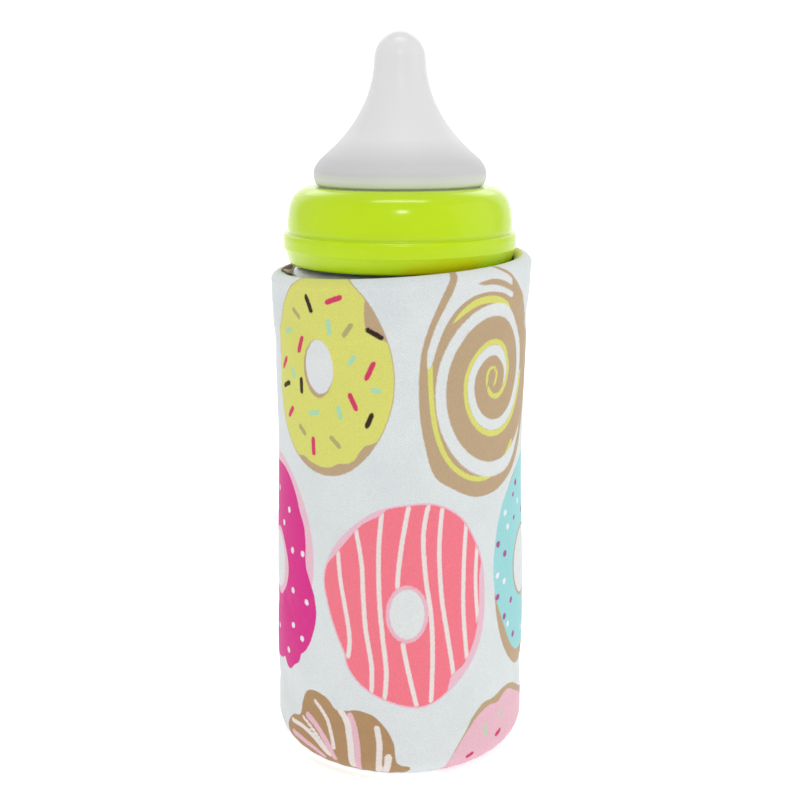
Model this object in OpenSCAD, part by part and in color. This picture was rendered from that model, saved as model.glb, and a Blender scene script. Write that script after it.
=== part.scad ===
// Heated fabric sleeve for a wide-neck feeding bottle, with the bottle in it.
// Z is up, the sleeve's underside is at z = 0 and the bottle's axis is the Z axis.
// The front is on -Y; the overlapping closure and the cord outlet are on +Y.

/* [Sleeve] */
// Height of the sleeve at its rim
sleeve_h = 144; // [138:1:150]
// Outer radius of the sleeve near its foot and near its rim
sleeve_r = 37.4; // [37:0.1:38.5]
// How much the sleeve draws in at its waist
waist_in = 1.6; // [0.4:0.1:1.8]
// Radius of the rounded bottom edge
corner_r = 7; // [5:0.5:9]
// Thickness of the outer printed cotton
cover_t = 0.8; // [0.5:0.1:0.9]
// Thickness of the inner lining
lining_t = 0.8; // [0.5:0.1:0.9]
// Inner radius of the lined tube
tube_r = 31.9; // [31.9:0.05:32]
// Height of the folded-in facing inside the rim
facing_h = 16; // [10:1:24]
// Width of the slit behind the closure flap
slit_w = 2; // [1:0.5:3]

/* [Heater] */
// Number of heating rows, an even number
rows = 12; // [4:2:12]
// Height of the lowest heating row
row_z0 = 24; // [22:1:26]
// Spacing of the heating rows
row_step = 8; // [6:0.5:8]
// Width of the heating track
track_w = 2.5; // [1.5:0.5:4]

/* [Closure] */
// Lower end of the closure flap
flap_z0 = 20; // [14:1:40]
// Upper end of the closure flap
flap_z1 = 136; // [100:1:137]
// Thickness of the doubled flap cloth
flap_t = 1.2; // [0.8:0.1:1.6]
// How far round the sleeve the flap reaches, in degrees
flap_span = 36; // [30:1:44]

/* [Cord outlet] */
// Radius of the hole the cord passes through
cord_hole_r = 2.3; // [1.6:0.1:2.4]
// Height of the cord outlet above the foot
outlet_z = 16; // [15:1:18]

/* [Bottle] */
// Outer radius of the bottle
bottle_r = 31.5; // [31:0.1:31.5]
// Wall thickness of the bottle
bottle_t = 1.8; // [1.2:0.1:2.4]
// Underside of the bottle
bottle_z0 = 4.8; // [4.8:0.1:6]
// Top of the bottle's neck
neck_z1 = 161.2; // [161:0.1:161.2]
// Outer radius of the neck between the threads
neck_r = 27.2; // [27:0.1:27.2]

/* [Collar] */
// Widest radius of the screw collar
collar_r = 33.2; // [33:0.1:34]
// Lower edge of the collar
collar_z0 = 144.2; // [144.1:0.1:144.3]
// Top face of the collar
collar_z1 = 165.5; // [165:0.1:165.6]
// Pitch of the screw thread
pitch = 5; // [5:0.5:5]

/* [Teat] */
// Top of the teat
teat_z1 = 207.8; // [200:0.2:212]
// Wall thickness of the teat
teat_t = 1.7; // [1.2:0.1:2]
// Radius of the hole in the teat's tip
tip_hole_r = 0.4; // [0.3:0.1:1]

/* [Hidden] */
$fn = 96;

slit_a = 90;             // direction of the slit, from +X towards +Y
outlet_a = 38;           // direction of the cord outlet
stat_a = 52;             // direction of the thermostat
term_a = 70;             // direction of the two terminals
fuse_a = 28;             // direction of the thermal fuse
lead_r = 0.5;            // radius of an insulated lead
lead_R = 34.1;           // distance of the leads from the axis
film_r = tube_r + lining_t + 0.05;
film_t = 0.3;
track_r = film_r + film_t + 0.02;
foil_r = track_r + 0.15 + 0.06;
pad_r = foil_r + 0.15 + 0.07;      // inner radius of the wadding
corner_c = sleeve_r - corner_r;    // centre of the rounded bottom edge
rim_c = (tube_r + sleeve_r - 0.4) / 2;   // middle of the rim's wall
rim_rr = (sleeve_r - 0.4 - tube_r) / 2;  // radius of the rolled rim
rim_z = sleeve_h - rim_rr;
row_z1 = row_z0 + (rows - 1) * row_step;

// outer radius of the sleeve at height z
function side_r(z) = sleeve_r
  - waist_in * exp(-pow((z - 90) / 34, 2))
  - 0.4 * max(0, min(1, (z - 100) / 40));
// points along an arc
function arc(cx, cy, r, a0, a1, n = 12) =
  [for (i = [0:n]) let (a = a0 + (a1 - a0) * i / n) [cx + r * cos(a), cy + r * sin(a)]];
// points along a cubic curve, without its first point
function bez(p0, p1, p2, p3, n = 12) =
  [for (i = [1:n]) let (t = i / n, s = 1 - t)
    s * s * s * p0 + 3 * s * s * t * p1 + 3 * s * t * t * p2 + t * t * t * p3];
function rev(v) = [for (i = [len(v) - 1:-1:0]) v[i]];
// the sleeve's side between two heights, offset outwards by o
function side(z0, z1, o, n = 14) =
  [for (i = [0:n]) let (z = z0 + (z1 - z0) * i / n) [side_r(z) + o, z]];

// a band that follows the sleeve's side, from angle a0 to a1
module side_band(a0, a1, z0, z1, o0, o1) {
  rotate([0, 0, a0]) rotate_extrude(angle = a1 - a0)
    polygon(concat(side(z0, z1, o1), rev(side(z0, z1, o0))));
}
// a rectangular ring sector
module sector(r0, r1, z0, z1, a0, a1) {
  rotate([0, 0, a0]) rotate_extrude(angle = a1 - a0)
    translate([r0, z0]) square([r1 - r0, z1 - z0]);
}
// a lead running round the axis
module lead_arc(a0, a1, z, r) {
  rotate([0, 0, a0]) rotate_extrude(angle = a1 - a0) translate([lead_R, z]) circle(r = r, $fn = 24);
}
// a lead running upwards
module lead_up(a, z0, z1, r) {
  rotate([0, 0, a]) translate([lead_R, 0, z0]) cylinder(r = r, h = z1 - z0, $fn = 24);
}
module lead_bend(a, z, r) {
  rotate([0, 0, a]) translate([lead_R, 0, z]) sphere(r = r + 0.06, $fn = 24);
}
module slit() {
  rotate([0, 0, slit_a]) translate([25, -slit_w / 2, 12]) cube([20, slit_w, 160]);
}
// a ridge that climbs round the axis; its root sits at r_root and its crest at r_tip
module ridge(r_root, r_tip, w_root, w_tip, z0, turns) {
  spt = 36;
  n = round(spt * turns);
  pts = [for (i = [0:n]) let (
      a = 360 * i / spt, z = z0 + pitch * i / spt,
      k = max(0.04, min(1, i / 4, (n - i) / 4)), rt = r_root + (r_tip - r_root) * k,
      re = r_root - sign(r_tip - r_root) * 0.5)
    for (q = [[re, -w_root / 2], [rt, -w_tip / 2], [rt, w_tip / 2], [re, w_root / 2]])
      [q[0] * cos(a), q[0] * sin(a), z + q[1]]];
  out = r_tip > r_root;
  tris = concat(
    [for (i = [0:n - 1], j = [0:3]) let (a = 4 * i + j, b = 4 * i + (j + 1) % 4)
      [a, b, b + 4]],
    [for (i = [0:n - 1], j = [0:3]) let (a = 4 * i + j, b = 4 * i + (j + 1) % 4)
      [a, b + 4, a + 4]],
    [[0, 2, 1], [0, 3, 2], [4 * n, 4 * n + 1, 4 * n + 2], [4 * n, 4 * n + 2, 4 * n + 3]]);
  polyhedron(points = pts, faces = out ? [for (t = tris) [t[0], t[1], t[2]]] : [for (t = tris) [t[0], t[2], t[1]]], convexity = 4);
}

// ---------- bottle, collar and teat ----------
function bottle_out() = concat(
  [[0, bottle_z0 + 2.2], [20, bottle_z0 + 1.7], [24, bottle_z0]],
  arc(bottle_r - 6, bottle_z0 + 6, 6, -90, 0, 10),
  [[bottle_r, 135]],
  bez([bottle_r, 135], [bottle_r, 140], [31, 143.2], [28.2, 143.2], 12),
  [[neck_r, 143.6], [neck_r, neck_z1 - 0.5], [neck_r - 0.5, neck_z1]]);
function bottle_in() = concat(
  [[25.7, neck_z1], [25.2, neck_z1 - 0.5], [25.2, 144]],
  bez([25.2, 144], [25.2, 141.6], [bottle_r - bottle_t, 142], [bottle_r - bottle_t, 134], 10),
  arc(bottle_r - 6, bottle_z0 + 6.2, 6 - bottle_t, 0, -90, 8),
  [[20, bottle_z0 + 3.6], [0, bottle_z0 + 4]]);
module bottle() color("gainsboro") {
  union() {
    rotate_extrude() polygon(concat(bottle_out(), bottle_in()));
    ridge(neck_r, neck_r + 1.1, 2, 1, 149.5, 1.2);
  }
}
function collar_out() = concat(
  [[collar_r - 1.9, collar_z0], [collar_r - 1.6, collar_z0 + 0.25]],
  bez([collar_r - 1.6, collar_z0 + 0.25], [collar_r - 1.1, collar_z0 + 1.9], [collar_r - 0.6, collar_z0 + 3.6], [collar_r - 0.12, collar_z0 + 4.3], 6),
  bez([collar_r - 0.12, collar_z0 + 4.3], [collar_r, collar_z0 + 4.5], [collar_r, collar_z0 + 4.7], [collar_r, collar_z0 + 5], 3),
  [[collar_r, collar_z0 + 7]],
  bez([collar_r, collar_z0 + 7], [collar_r, collar_z0 + 8.4], [collar_r - 0.5, collar_z0 + 8.5], [collar_r - 1.1, collar_z0 + 8.6], 6),
  bez([collar_r - 1.1, collar_z0 + 8.6], [collar_r - 1.4, collar_z0 + 8.7], [collar_r - 1.3, collar_z0 + 9.2], [collar_r - 1.2, collar_z0 + 9.5], 4),
  bez([collar_r - 1.2, collar_z0 + 9.5], [collar_r - 1.25, collar_z0 + 13.5], [collar_r - 1.8, collar_z0 + 17.5], [collar_r - 3.6, collar_z0 + 19.2], 14),
  bez([collar_r - 3.6, collar_z0 + 19.2], [collar_r - 4.8, collar_z0 + 20.6], [collar_r - 6.4, collar_z1], [collar_r - 8, collar_z1], 10),
  [[23.8, collar_z1]],
  bez([23.8, collar_z1], [23.3, collar_z1], [23, collar_z1 - 0.3], [23, collar_z1 - 0.8], 4),
  [[23, 163.3], [28.6, 163.3], [28.9, 163], [28.9, collar_z0 + 0.5], [29.4, collar_z0]]);
module collar_ring() color("yellowgreen") {
  union() {
    rotate_extrude() polygon(collar_out());
    ridge(28.9, 27.65, 2, 1, 147.8, 1.1);
  }
}
function teat_out() = concat(
  [[23.1, 161.5], [26.6, 161.5], [27, 161.9], [27, 162.6], [26.6, 163], [22.9, 163], [22.65, 163.3], [22.65, 165.6]],
  bez([22.65, 165.6], [22.7, 165.9], [22.9, 165.85], [23.3, 165.9], 3),
  bez([23.3, 165.9], [24, 166.2], [24.4, 167.4], [24.4, 168.9], 8),
  bez([24.4, 168.9], [24.4, 171], [23, 172.6], [21.6, 173.9], 8),
  bez([21.6, 173.9], [13.2, 180.8], [7.7, 189.5], [7.2, teat_z1 - 8], 20),
  [for (i = [1:11]) [7.2 * cos(i * 90 / 12), teat_z1 - 8 + 8 * sin(i * 90 / 12)]]);
function teat_in() = concat(
  [for (i = [10:-1:1]) [(7.2 - teat_t) * cos(i * 90 / 12), teat_z1 - 8 + (8 - teat_t * 1.2) * sin(i * 90 / 12)]],
  [[7.2 - teat_t, teat_z1 - 8]],
  bez([7.2 - teat_t, teat_z1 - 8], [7.6 - teat_t, 189], [12.2 - teat_t, 179.6], [20.6 - teat_t, 172.6], 16),
  bez([20.6 - teat_t, 172.6], [22.2 - teat_t, 171.2], [24.4 - teat_t, 170], [24.4 - teat_t, 168.5], 6),
  bez([24.4 - teat_t, 168.5], [24.4 - teat_t, 167.4], [20.6, 166.6], [20.6, 165.6], 4),
  [[20.6, 163.4], [23.1, 161.5]]);
module teat() color("whitesmoke") {
  difference() {
    rotate_extrude() polygon(concat([[tip_hole_r, teat_z1 - 2.4]], [[tip_hole_r, teat_z1]], rev(teat_out()), rev(teat_in())));
    translate([24.6, 0, 160]) cylinder(r = 0.5, h = 5, $fn = 24);
  }
}

// ---------- cloth of the sleeve ----------
module outer_cover() color("azure") {
  difference() {
    rotate_extrude() polygon(concat(
      arc(corner_c, corner_r, corner_r, -90, 0, 8),
      side(corner_r + 3, rim_z, 0, 16),
      arc(rim_c, rim_z, rim_rr, 12, 90, 7),
      arc(rim_c, rim_z, rim_rr - cover_t, 90, 12, 7),
      rev(side(corner_r + 3, rim_z, -cover_t, 16)),
      arc(corner_c, corner_r, corner_r - cover_t, 0, -90, 8)));
    slit();
    rotate([0, 0, outlet_a]) translate([30, 0, outlet_z]) rotate([0, 90, 0]) cylinder(r = 3.1, h = 12, $fn = 48);
  }
}
module outer_base() color("azure") {
  cylinder(r = corner_c - 0.05, h = cover_t, $fn = 96);
}
module rim_facing() color("rosybrown") {
  difference() {
    rotate_extrude() polygon(concat(
      [[tube_r + lining_t, sleeve_h - facing_h], [tube_r + lining_t, rim_z]],
      arc(rim_c, rim_z, rim_rr - lining_t, 180, 94, 7),
      arc(rim_c, rim_z, rim_rr, 94, 180, 7),
      [[tube_r, sleeve_h - facing_h]]));
    slit();
  }
}
module lining_wall() color("whitesmoke") {
  difference() {
    rotate_extrude() translate([tube_r, 3.7]) square([lining_t, sleeve_h - facing_h - 3.7 - 0.3]);
    slit();
  }
}
module lining_base() color("whitesmoke") {
  translate([0, 0, 3.7]) cylinder(r = tube_r - 0.05, h = 0.8, $fn = 96);
}

// ---------- padding and heater ----------
// a pocket cut into the inner face of the wadding, w wide round the axis
module pocket(a, w, z0, z1, r1, into) {
  h = w / 2 / lead_R * 180 / PI;
  sector(pad_r - into, r1, z0, z1, a - h, a + h);
}
module wadding_wall() color("linen") {
  difference() {
    rotate_extrude() polygon(concat(
      [[pad_r, 3]],
      arc(corner_c, corner_r, corner_r - cover_t - 0.06, -38, 0, 4),
      side(corner_r + 3, rim_z, -cover_t - 0.06, 16),
      [[pad_r, rim_z]]));
    slit();
    sector(pad_r - 0.5, 34.68, outlet_z - 2.4, row_z1 + 7.7, fuse_a - 2, term_a + 2.2);
    pocket(stat_a, 7.2, 20, 35, 36.46, 0.6);
    pocket(fuse_a, 2.6, 39.4, 48.6, 35.75, 0.7);
    pocket(term_a, 5, row_z0 - 4, row_z0 + 4.5, 35.02, 0.8);
    pocket(term_a, 5.2, row_z1 - 4, row_z1 + 4.5, 35.05, 0.9);
    rotate([0, 0, outlet_a]) translate([32, 0, outlet_z]) rotate([0, 90, 0]) cylinder(r = 5.3, h = 6, $fn = 48);
  }
}
module wadding_base() color("linen") {
  rotate_extrude() polygon(concat(
    [[0, cover_t + 0.05]],
    arc(corner_c, corner_r, corner_r - cover_t - 0.05, -90, -60, 4),
    [[pad_r - 0.1, 1.75], [pad_r - 0.1, 3.6], [0, 3.6]]));
}
module foil_reflector() color("silver") {
  sector(foil_r, foil_r + 0.15, 16, 124, 120, 420);
}
module heater_film() color("peru") {
  sector(film_r, film_r + film_t, 18, row_z1 + 8, 102, 438);
}
module heater_track() color("dimgray") {
  difference() {
    sector(track_r, track_r + 0.15, row_z0 - track_w / 2, row_z1 + track_w / 2, 106, 434);
    for (i = [0:rows - 2])
      sector(track_r - 0.6, track_r + 0.8, row_z0 + i * row_step + track_w / 2, row_z0 + (i + 1) * row_step - track_w / 2,
        i % 2 == 0 ? 110 : 103, i % 2 == 0 ? 437 : 430);
  }
}
module terminal(z, up) {
  t0 = track_r + 0.18;
  difference() {
    union() {
      sector(t0, t0 + 0.3, z - 3.2, z + 3.2, term_a - 3.4, term_a + 3.4);
      rotate([0, 0, term_a]) translate([lead_R, 0, up ? z : z - 3]) cylinder(r = 0.85, h = 3, $fn = 24);
    }
    rotate([0, 0, term_a]) translate([lead_R, 0, up ? z - 0.5 : z - 3.5]) cylinder(r = lead_r + 0.03, h = 4, $fn = 24);
  }
}
module heater_terminals() color("gold") {
  terminal(row_z0, true);
  terminal(row_z1, true);
}
module thermostat() color("black") {
  rotate([0, 0, stat_a]) translate([33.9, -2.75, 21.5]) cube([2, 5.5, 12]);
}
module thermostat_sleeve() color("darkslategray") {
  rotate([0, 0, stat_a]) difference() {
    translate([33.62, -3.05, 21.5]) cube([2.56, 6.1, 12]);
    translate([33.87, -2.8, 20]) cube([2.06, 5.6, 15]);
  }
}
module thermal_fuse() color("silver") {
  rotate([0, 0, fuse_a]) translate([34.55, 0, 40]) cylinder(r = 0.95, h = 8, $fn = 24);
}
module lead_supply() color("firebrick") {
  union() {
    lead_arc(outlet_a, stat_a, outlet_z + 1.2, lead_r);
    lead_bend(stat_a, outlet_z + 1.2, lead_r);
    lead_up(stat_a, outlet_z + 1.2, 21.45, lead_r);
  }
}
module lead_link() color("firebrick") {
  union() {
    lead_up(stat_a, 33.55, 38.5, lead_r);
    lead_bend(stat_a, 38.5, lead_r);
    lead_arc(stat_a, term_a, 38.5, lead_r);
    lead_bend(term_a, 38.5, lead_r);
    lead_up(term_a, row_z0 + 0.5, 38.5, lead_r);
  }
}
module lead_return() color("black") {
  union() {
    lead_arc(fuse_a, outlet_a, outlet_z - 1.2, lead_r);
    lead_bend(fuse_a, outlet_z - 1.2, lead_r);
    lead_up(fuse_a, outlet_z - 1.2, 39.95, lead_r);
  }
}
module lead_return_upper() color("black") {
  union() {
    lead_up(fuse_a, 48.05, row_z1 + 6.5, lead_r);
    lead_bend(fuse_a, row_z1 + 6.5, lead_r);
    lead_arc(fuse_a, term_a, row_z1 + 6.5, lead_r);
    lead_bend(term_a, row_z1 + 6.5, lead_r);
    lead_up(term_a, row_z1 + 0.5, row_z1 + 6.5, lead_r);
  }
}

// ---------- cord outlet ----------
module cord_eyelet() color("silver") {
  rotate([0, 0, outlet_a]) translate([0, 0, outlet_z]) rotate([0, 90, 0])
    rotate_extrude() polygon(concat(
      [[cord_hole_r, 35], [3, 35], [3, 37.5], [4.6, 37.5]],
      arc(4.6, 37.8, 0.3, -90, 0, 4),
      bez([4.9, 37.8], [4.6, 38.3], [3.6, 38.5], [3, 38.5], 6),
      bez([3, 38.5], [2.6, 38.5], [cord_hole_r, 38.3], [cord_hole_r, 37.9], 4)));
}
module eyelet_washer() color("silver") {
  rotate([0, 0, outlet_a]) translate([35.7, 0, outlet_z]) rotate([0, 90, 0]) difference() {
    cylinder(r = 4.9, h = 0.4, $fn = 48);
    translate([0, 0, -1]) cylinder(r = 3.05, h = 3, $fn = 48);
  }
}

// ---------- closure ----------
flap_a1 = slit_a + 2.5;
flap_a0 = flap_a1 - flap_span;
module closure_flap() color("azure") {
  difference() {
    side_band(flap_a0, flap_a1, flap_z0, flap_z1, 0.3, 1.95 + flap_t);
    side_band(flap_a0 - 2, flap_a1 - 2, flap_z0 - 3, flap_z1 + 3, -3, 1.95);
  }
}
module hook_strip() color("lightgray") {
  side_band(flap_a0 + 3, flap_a0 + 26, flap_z0 + 4, flap_z1 - 4, 1.15, 1.9);
}
module loop_strip() color("lightgray") {
  side_band(flap_a0 + 4.5, flap_a0 + 27.5, flap_z0 + 4, flap_z1 - 4, 0.04, 0.85);
}
// a thin line of thread round a rectangle that follows the sleeve's side
module stitch_box(a0, a1, z0, z1, o0, o1) {
  difference() {
    side_band(a0, a1, z0, z1, o0, o1);
    side_band(a0 + 0.7, a1 - 0.7, z0 + 0.45, z1 - 0.45, o0 - 1, o1 + 1);
  }
}
module hook_stitching() color("white") {
  stitch_box(flap_a0 + 4, flap_a0 + 25, flap_z0 + 5.5, flap_z1 - 5.5, 1.97 + flap_t, 2.2 + flap_t);
}
module loop_stitching() color("white") {
  stitch_box(flap_a0 + 5.5, flap_a0 + 26.5, flap_z0 + 5.5, flap_z1 - 5.5, 0.87, 1);
}
module flap_seam() color("white") {
  side_band(slit_a + 5.6, slit_a + 6.3, 14, rim_z - 2, 0.02, 0.26);
}

bottle();
collar_ring();
teat();
outer_cover();
outer_base();
rim_facing();
lining_wall();
lining_base();
wadding_wall();
wadding_base();
foil_reflector();
heater_film();
heater_track();
heater_terminals();
thermostat();
thermostat_sleeve();
thermal_fuse();
lead_supply();
lead_link();
lead_return();
lead_return_upper();
cord_eyelet();
eyelet_washer();
closure_flap();
hook_strip();
loop_strip();
hook_stitching();
loop_stitching();
flap_seam();
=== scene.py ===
import math
import bpy
import numpy as np
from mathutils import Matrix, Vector


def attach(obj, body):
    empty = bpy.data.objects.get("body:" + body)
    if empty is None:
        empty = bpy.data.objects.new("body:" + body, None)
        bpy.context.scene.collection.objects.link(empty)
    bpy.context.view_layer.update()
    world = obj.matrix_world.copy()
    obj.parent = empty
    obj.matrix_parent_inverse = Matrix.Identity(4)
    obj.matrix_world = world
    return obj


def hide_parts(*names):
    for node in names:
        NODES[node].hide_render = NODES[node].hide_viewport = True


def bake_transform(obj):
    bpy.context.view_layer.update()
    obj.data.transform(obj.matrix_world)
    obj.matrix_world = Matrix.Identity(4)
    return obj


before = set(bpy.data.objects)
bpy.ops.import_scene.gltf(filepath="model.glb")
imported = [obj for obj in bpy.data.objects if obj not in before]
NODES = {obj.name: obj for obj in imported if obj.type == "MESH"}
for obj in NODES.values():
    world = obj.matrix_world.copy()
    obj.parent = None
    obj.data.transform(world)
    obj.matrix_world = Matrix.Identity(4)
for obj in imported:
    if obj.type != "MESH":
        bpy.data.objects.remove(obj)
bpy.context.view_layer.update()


RNG = np.random.default_rng(7)
D = math.pi / 180

# ---------------------------------------------------------------- dimensions, mm
SLEEVE_R, WAIST, CORNER = 37.4, 1.6, 7.0
CORNER_C = SLEEVE_R - CORNER
TUBE_R = 31.9
RIM_C, RIM_RR, RIM_Z = 34.45, 2.55, 141.45
COLLAR_R, COLLAR_Z0, COLLAR_Z1 = 33.2, 144.2, 165.5
TEAT_Z1 = 207.8


def side_r(z):
    z = np.asarray(z, float)
    return SLEEVE_R - WAIST * np.exp(-((z - 90) / 34) ** 2) - 0.4 * np.clip((z - 100) / 40, 0, 1)


def smooth(t):
    t = np.clip(t, 0, 1)
    return t * t * (3 - 2 * t)


def rim_lift(a):
    """How far the rim stands above or below 144 mm, at angle a in degrees from the front."""
    a = np.asarray(a, float)
    d = (a - 118 + 180) % 360 - 180
    return 0.2 + 2.3 * np.sin(a * D) + 0.9 * np.exp(-(d / 30) ** 2)


def place(a, r, z):
    """Sleeve coordinates (angle from the front, radius, height) to points in mm, with the rim's tilt."""
    a, r, z = np.broadcast_arrays(np.asarray(a, float), np.asarray(r, float), np.asarray(z, float))
    lift = rim_lift(a)
    zz = z + lift * smooth((z - 60) / 84) * np.clip((z - 60) / 84, 0, 1.05)
    rr = r + 0.25 * np.maximum(0, lift + 0.1) * smooth((z - 126) / 16)
    return np.stack([rr * np.sin(a * D), -rr * np.cos(a * D), zz], -1)


# ---------------------------------------------------------------- mesh helpers
def make(name, verts, faces, uv=None, attrs=None, smooth_shade=True):
    m = bpy.data.meshes.new(name)
    m.from_pydata((np.asarray(verts, float) * 0.001).tolist(), [], faces)
    m.update()
    o = bpy.data.objects.new(name, m)
    bpy.context.scene.collection.objects.link(o)
    if uv is not None:
        layer = m.uv_layers.new(name="cloth")
        idx = np.zeros(len(m.loops), np.int32)
        m.loops.foreach_get("vertex_index", idx)
        layer.data.foreach_set("uv", np.asarray(uv, np.float32)[idx].ravel())
    for key, val in (attrs or {}).items():
        at = m.attributes.new(key, "FLOAT_VECTOR", "POINT")
        at.data.foreach_set("vector", np.asarray(val, np.float32).ravel())
    if smooth_shade:
        m.polygons.foreach_set("use_smooth", np.ones(len(m.polygons), bool))
    return o


def sharp(o, angle=40):
    """Smooth faces, with edges over this angle kept sharp."""
    m = o.data
    m.polygons.foreach_set("use_smooth", np.ones(len(m.polygons), bool))
    m.set_sharp_from_angle(angle=angle * D)
    return o


def lathe(pts, n=192):
    """Closed profile [(r, z)...] turned about Z."""
    p = np.asarray(pts, float)
    k = len(p)
    ang = np.arange(n) * 2 * math.pi / n
    v = np.zeros((n, k, 3))
    v[..., 0] = p[None, :, 0] * np.cos(ang)[:, None]
    v[..., 1] = p[None, :, 0] * np.sin(ang)[:, None]
    v[..., 2] = p[None, :, 1]
    i = np.arange(n)
    f = []
    for j in range(k):
        j2 = (j + 1) % k
        a0 = i * k + j
        a1 = ((i + 1) % n) * k + j
        b0 = i * k + j2
        b1 = ((i + 1) % n) * k + j2
        f += np.stack([a0, a1, b1, b0], 1).tolist()
    return v.reshape(-1, 3), f


def join_geo(parts):
    vs, fs, off = [], [], 0
    for v, f in parts:
        v = np.asarray(v, float)
        vs.append(v)
        fs += [[i + off for i in q] for q in f]
        off += len(v)
    return np.concatenate(vs), fs


def bez(p0, p1, p2, p3, n=12):
    t = np.linspace(0, 1, n + 1)[1:, None]
    s = 1 - t
    p0, p1, p2, p3 = (np.asarray(q, float) for q in (p0, p1, p2, p3))
    return (s ** 3 * p0 + 3 * s * s * t * p1 + 3 * s * t * t * p2 + t ** 3 * p3).tolist()


def arc(cx, cy, r, a0, a1, n=12):
    a = np.linspace(a0, a1, n + 1) * D
    return np.stack([cx + r * np.cos(a), cy + r * np.sin(a)], 1).tolist()


def clean(pts, eps=1e-4):
    out = []
    for p in pts:
        if not out or abs(p[0] - out[-1][0]) + abs(p[1] - out[-1][1]) > eps:
            out.append([float(p[0]), float(p[1])])
    if abs(out[0][0] - out[-1][0]) + abs(out[0][1] - out[-1][1]) < eps:
        out.pop()
    return out


def ridge(r_root, r_tip, w_root, w_tip, z0, turns, pitch=5.0, spt=96):
    n = round(spt * turns)
    sgn = 1 if r_tip > r_root else -1
    v, f = [], []
    prof = [(-0.5, -w_root / 2), (0.0, -w_root / 2), (0.75, -w_tip / 2 - 0.12), (1.0, -w_tip / 2 + 0.15),
            (1.0, w_tip / 2 - 0.15), (0.75, w_tip / 2 + 0.12), (0.0, w_root / 2), (-0.5, w_root / 2)]
    k = len(prof)
    for i in range(n + 1):
        a = 2 * math.pi * i / spt
        z = z0 + pitch * i / spt
        e = min(1.0, i / 11, (n - i) / 11)
        e = max(0.02, math.sin(e * math.pi / 2))
        for t, w in prof:
            r = r_root + (r_tip - r_root) * t * e if t > 0 else r_root + sgn * t
            v.append((r * math.cos(a), r * math.sin(a), z + w * (0.35 + 0.65 * e)))
    for i in range(n):
        for j in range(k):
            a, b = i * k + j, i * k + (j + 1) % k
            f.append([a, b, b + k, a + k] if sgn > 0 else [a, a + k, b + k, b])
    f.append(list(range(k))[::-1] if sgn > 0 else list(range(k)))
    f.append([n * k + j for j in range(k)] if sgn > 0 else [n * k + j for j in range(k)][::-1])
    return v, f


# ---------------------------------------------------------------- distance fields of the print, mm
def seg(x, y, ax, ay, bx, by, r):
    dx, dy = bx - ax, by - ay
    t = np.clip(((x - ax) * dx + (y - ay) * dy) / (dx * dx + dy * dy + 1e-9), 0, 1)
    return np.hypot(x - ax - t * dx, y - ay - t * dy) - r


def path(x, y, pts, r):
    d = np.full(x.shape, 99.0)
    for (ax, ay), (bx, by) in zip(pts[:-1], pts[1:]):
        d = np.minimum(d, seg(x, y, ax, ay, bx, by, r))
    return d


def spline(pts, closed=True, n=7):
    p = np.asarray(pts, float)
    k = len(p)
    out = []
    rng = range(k) if closed else range(k - 1)
    for i in rng:
        g = (lambda j: p[j % k]) if closed else (lambda j: p[min(max(j, 0), k - 1)])
        p0, p1, p2, p3 = g(i - 1), g(i), g(i + 1), g(i + 2)
        for t in np.arange(n) / n:
            out.append(0.5 * (2 * p1 + (p2 - p0) * t + (2 * p0 - 5 * p1 + 4 * p2 - p3) * t * t
                              + (3 * p1 - p0 - 3 * p2 + p3) * t ** 3))
    if not closed:
        out.append(p[-1])
    return np.array(out)


def blob(x, y, pts, smooth_it=True):
    p = spline(pts) if smooth_it else np.asarray(pts, float)
    out = np.full(x.shape, 9.0)
    near = ((x > p[:, 0].min() - 5) & (x < p[:, 0].max() + 5) & (y > p[:, 1].min() - 5) & (y < p[:, 1].max() + 5))
    if not near.any():
        return out
    qx, qy = x[near], y[near]
    d = np.full(qx.shape, 1e9)
    inside = np.zeros(qx.shape, bool)
    for (ax, ay), (bx, by) in zip(p, np.roll(p, -1, 0)):
        d = np.minimum(d, seg(qx, qy, ax, ay, bx, by, 0))
        cross = ((ay > qy) != (by > qy)) & (qx < (bx - ax) * (qy - ay) / (by - ay + 1e-12) + ax)
        inside ^= cross
    out[near] = np.where(inside, -d, d)
    return out


def ell(x, y, cx, cy, rx, ry, waves=()):
    dx, dy = (x - cx) / rx, (y - cy) / ry
    rad = np.hypot(dx, dy)
    th = np.arctan2(dy, dx)
    k = 1.0
    for n, amp, ph in waves:
        k = k + amp * np.cos(n * th + ph)
    return (rad - k) * min(rx, ry) * (1 + 0.0 * th)


def curve(x, y, pts, r):
    return path(x, y, spline(pts, closed=False, n=6).tolist(), r)


def dots(x, y, cs, r):
    d = np.full(x.shape, 99.0)
    for cx, cy in cs:
        d = np.minimum(d, np.hypot(x - cx, y - cy) - r)
    return d


def sprinkles(x, y, ss, r=0.72):
    d = np.full(x.shape, 99.0)
    for ax, ay, bx, by in ss:
        d = np.minimum(d, seg(x, y, ax, ay, bx, by, r))
    return d


LAYERS = ["pink", "tan", "brown", "yellow", "magenta", "coral", "aqua", "tan2", "white", "cream", "dark",
          "berry", "mint", "olive", "dotw", "purple", "rose", "choc"]


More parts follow.
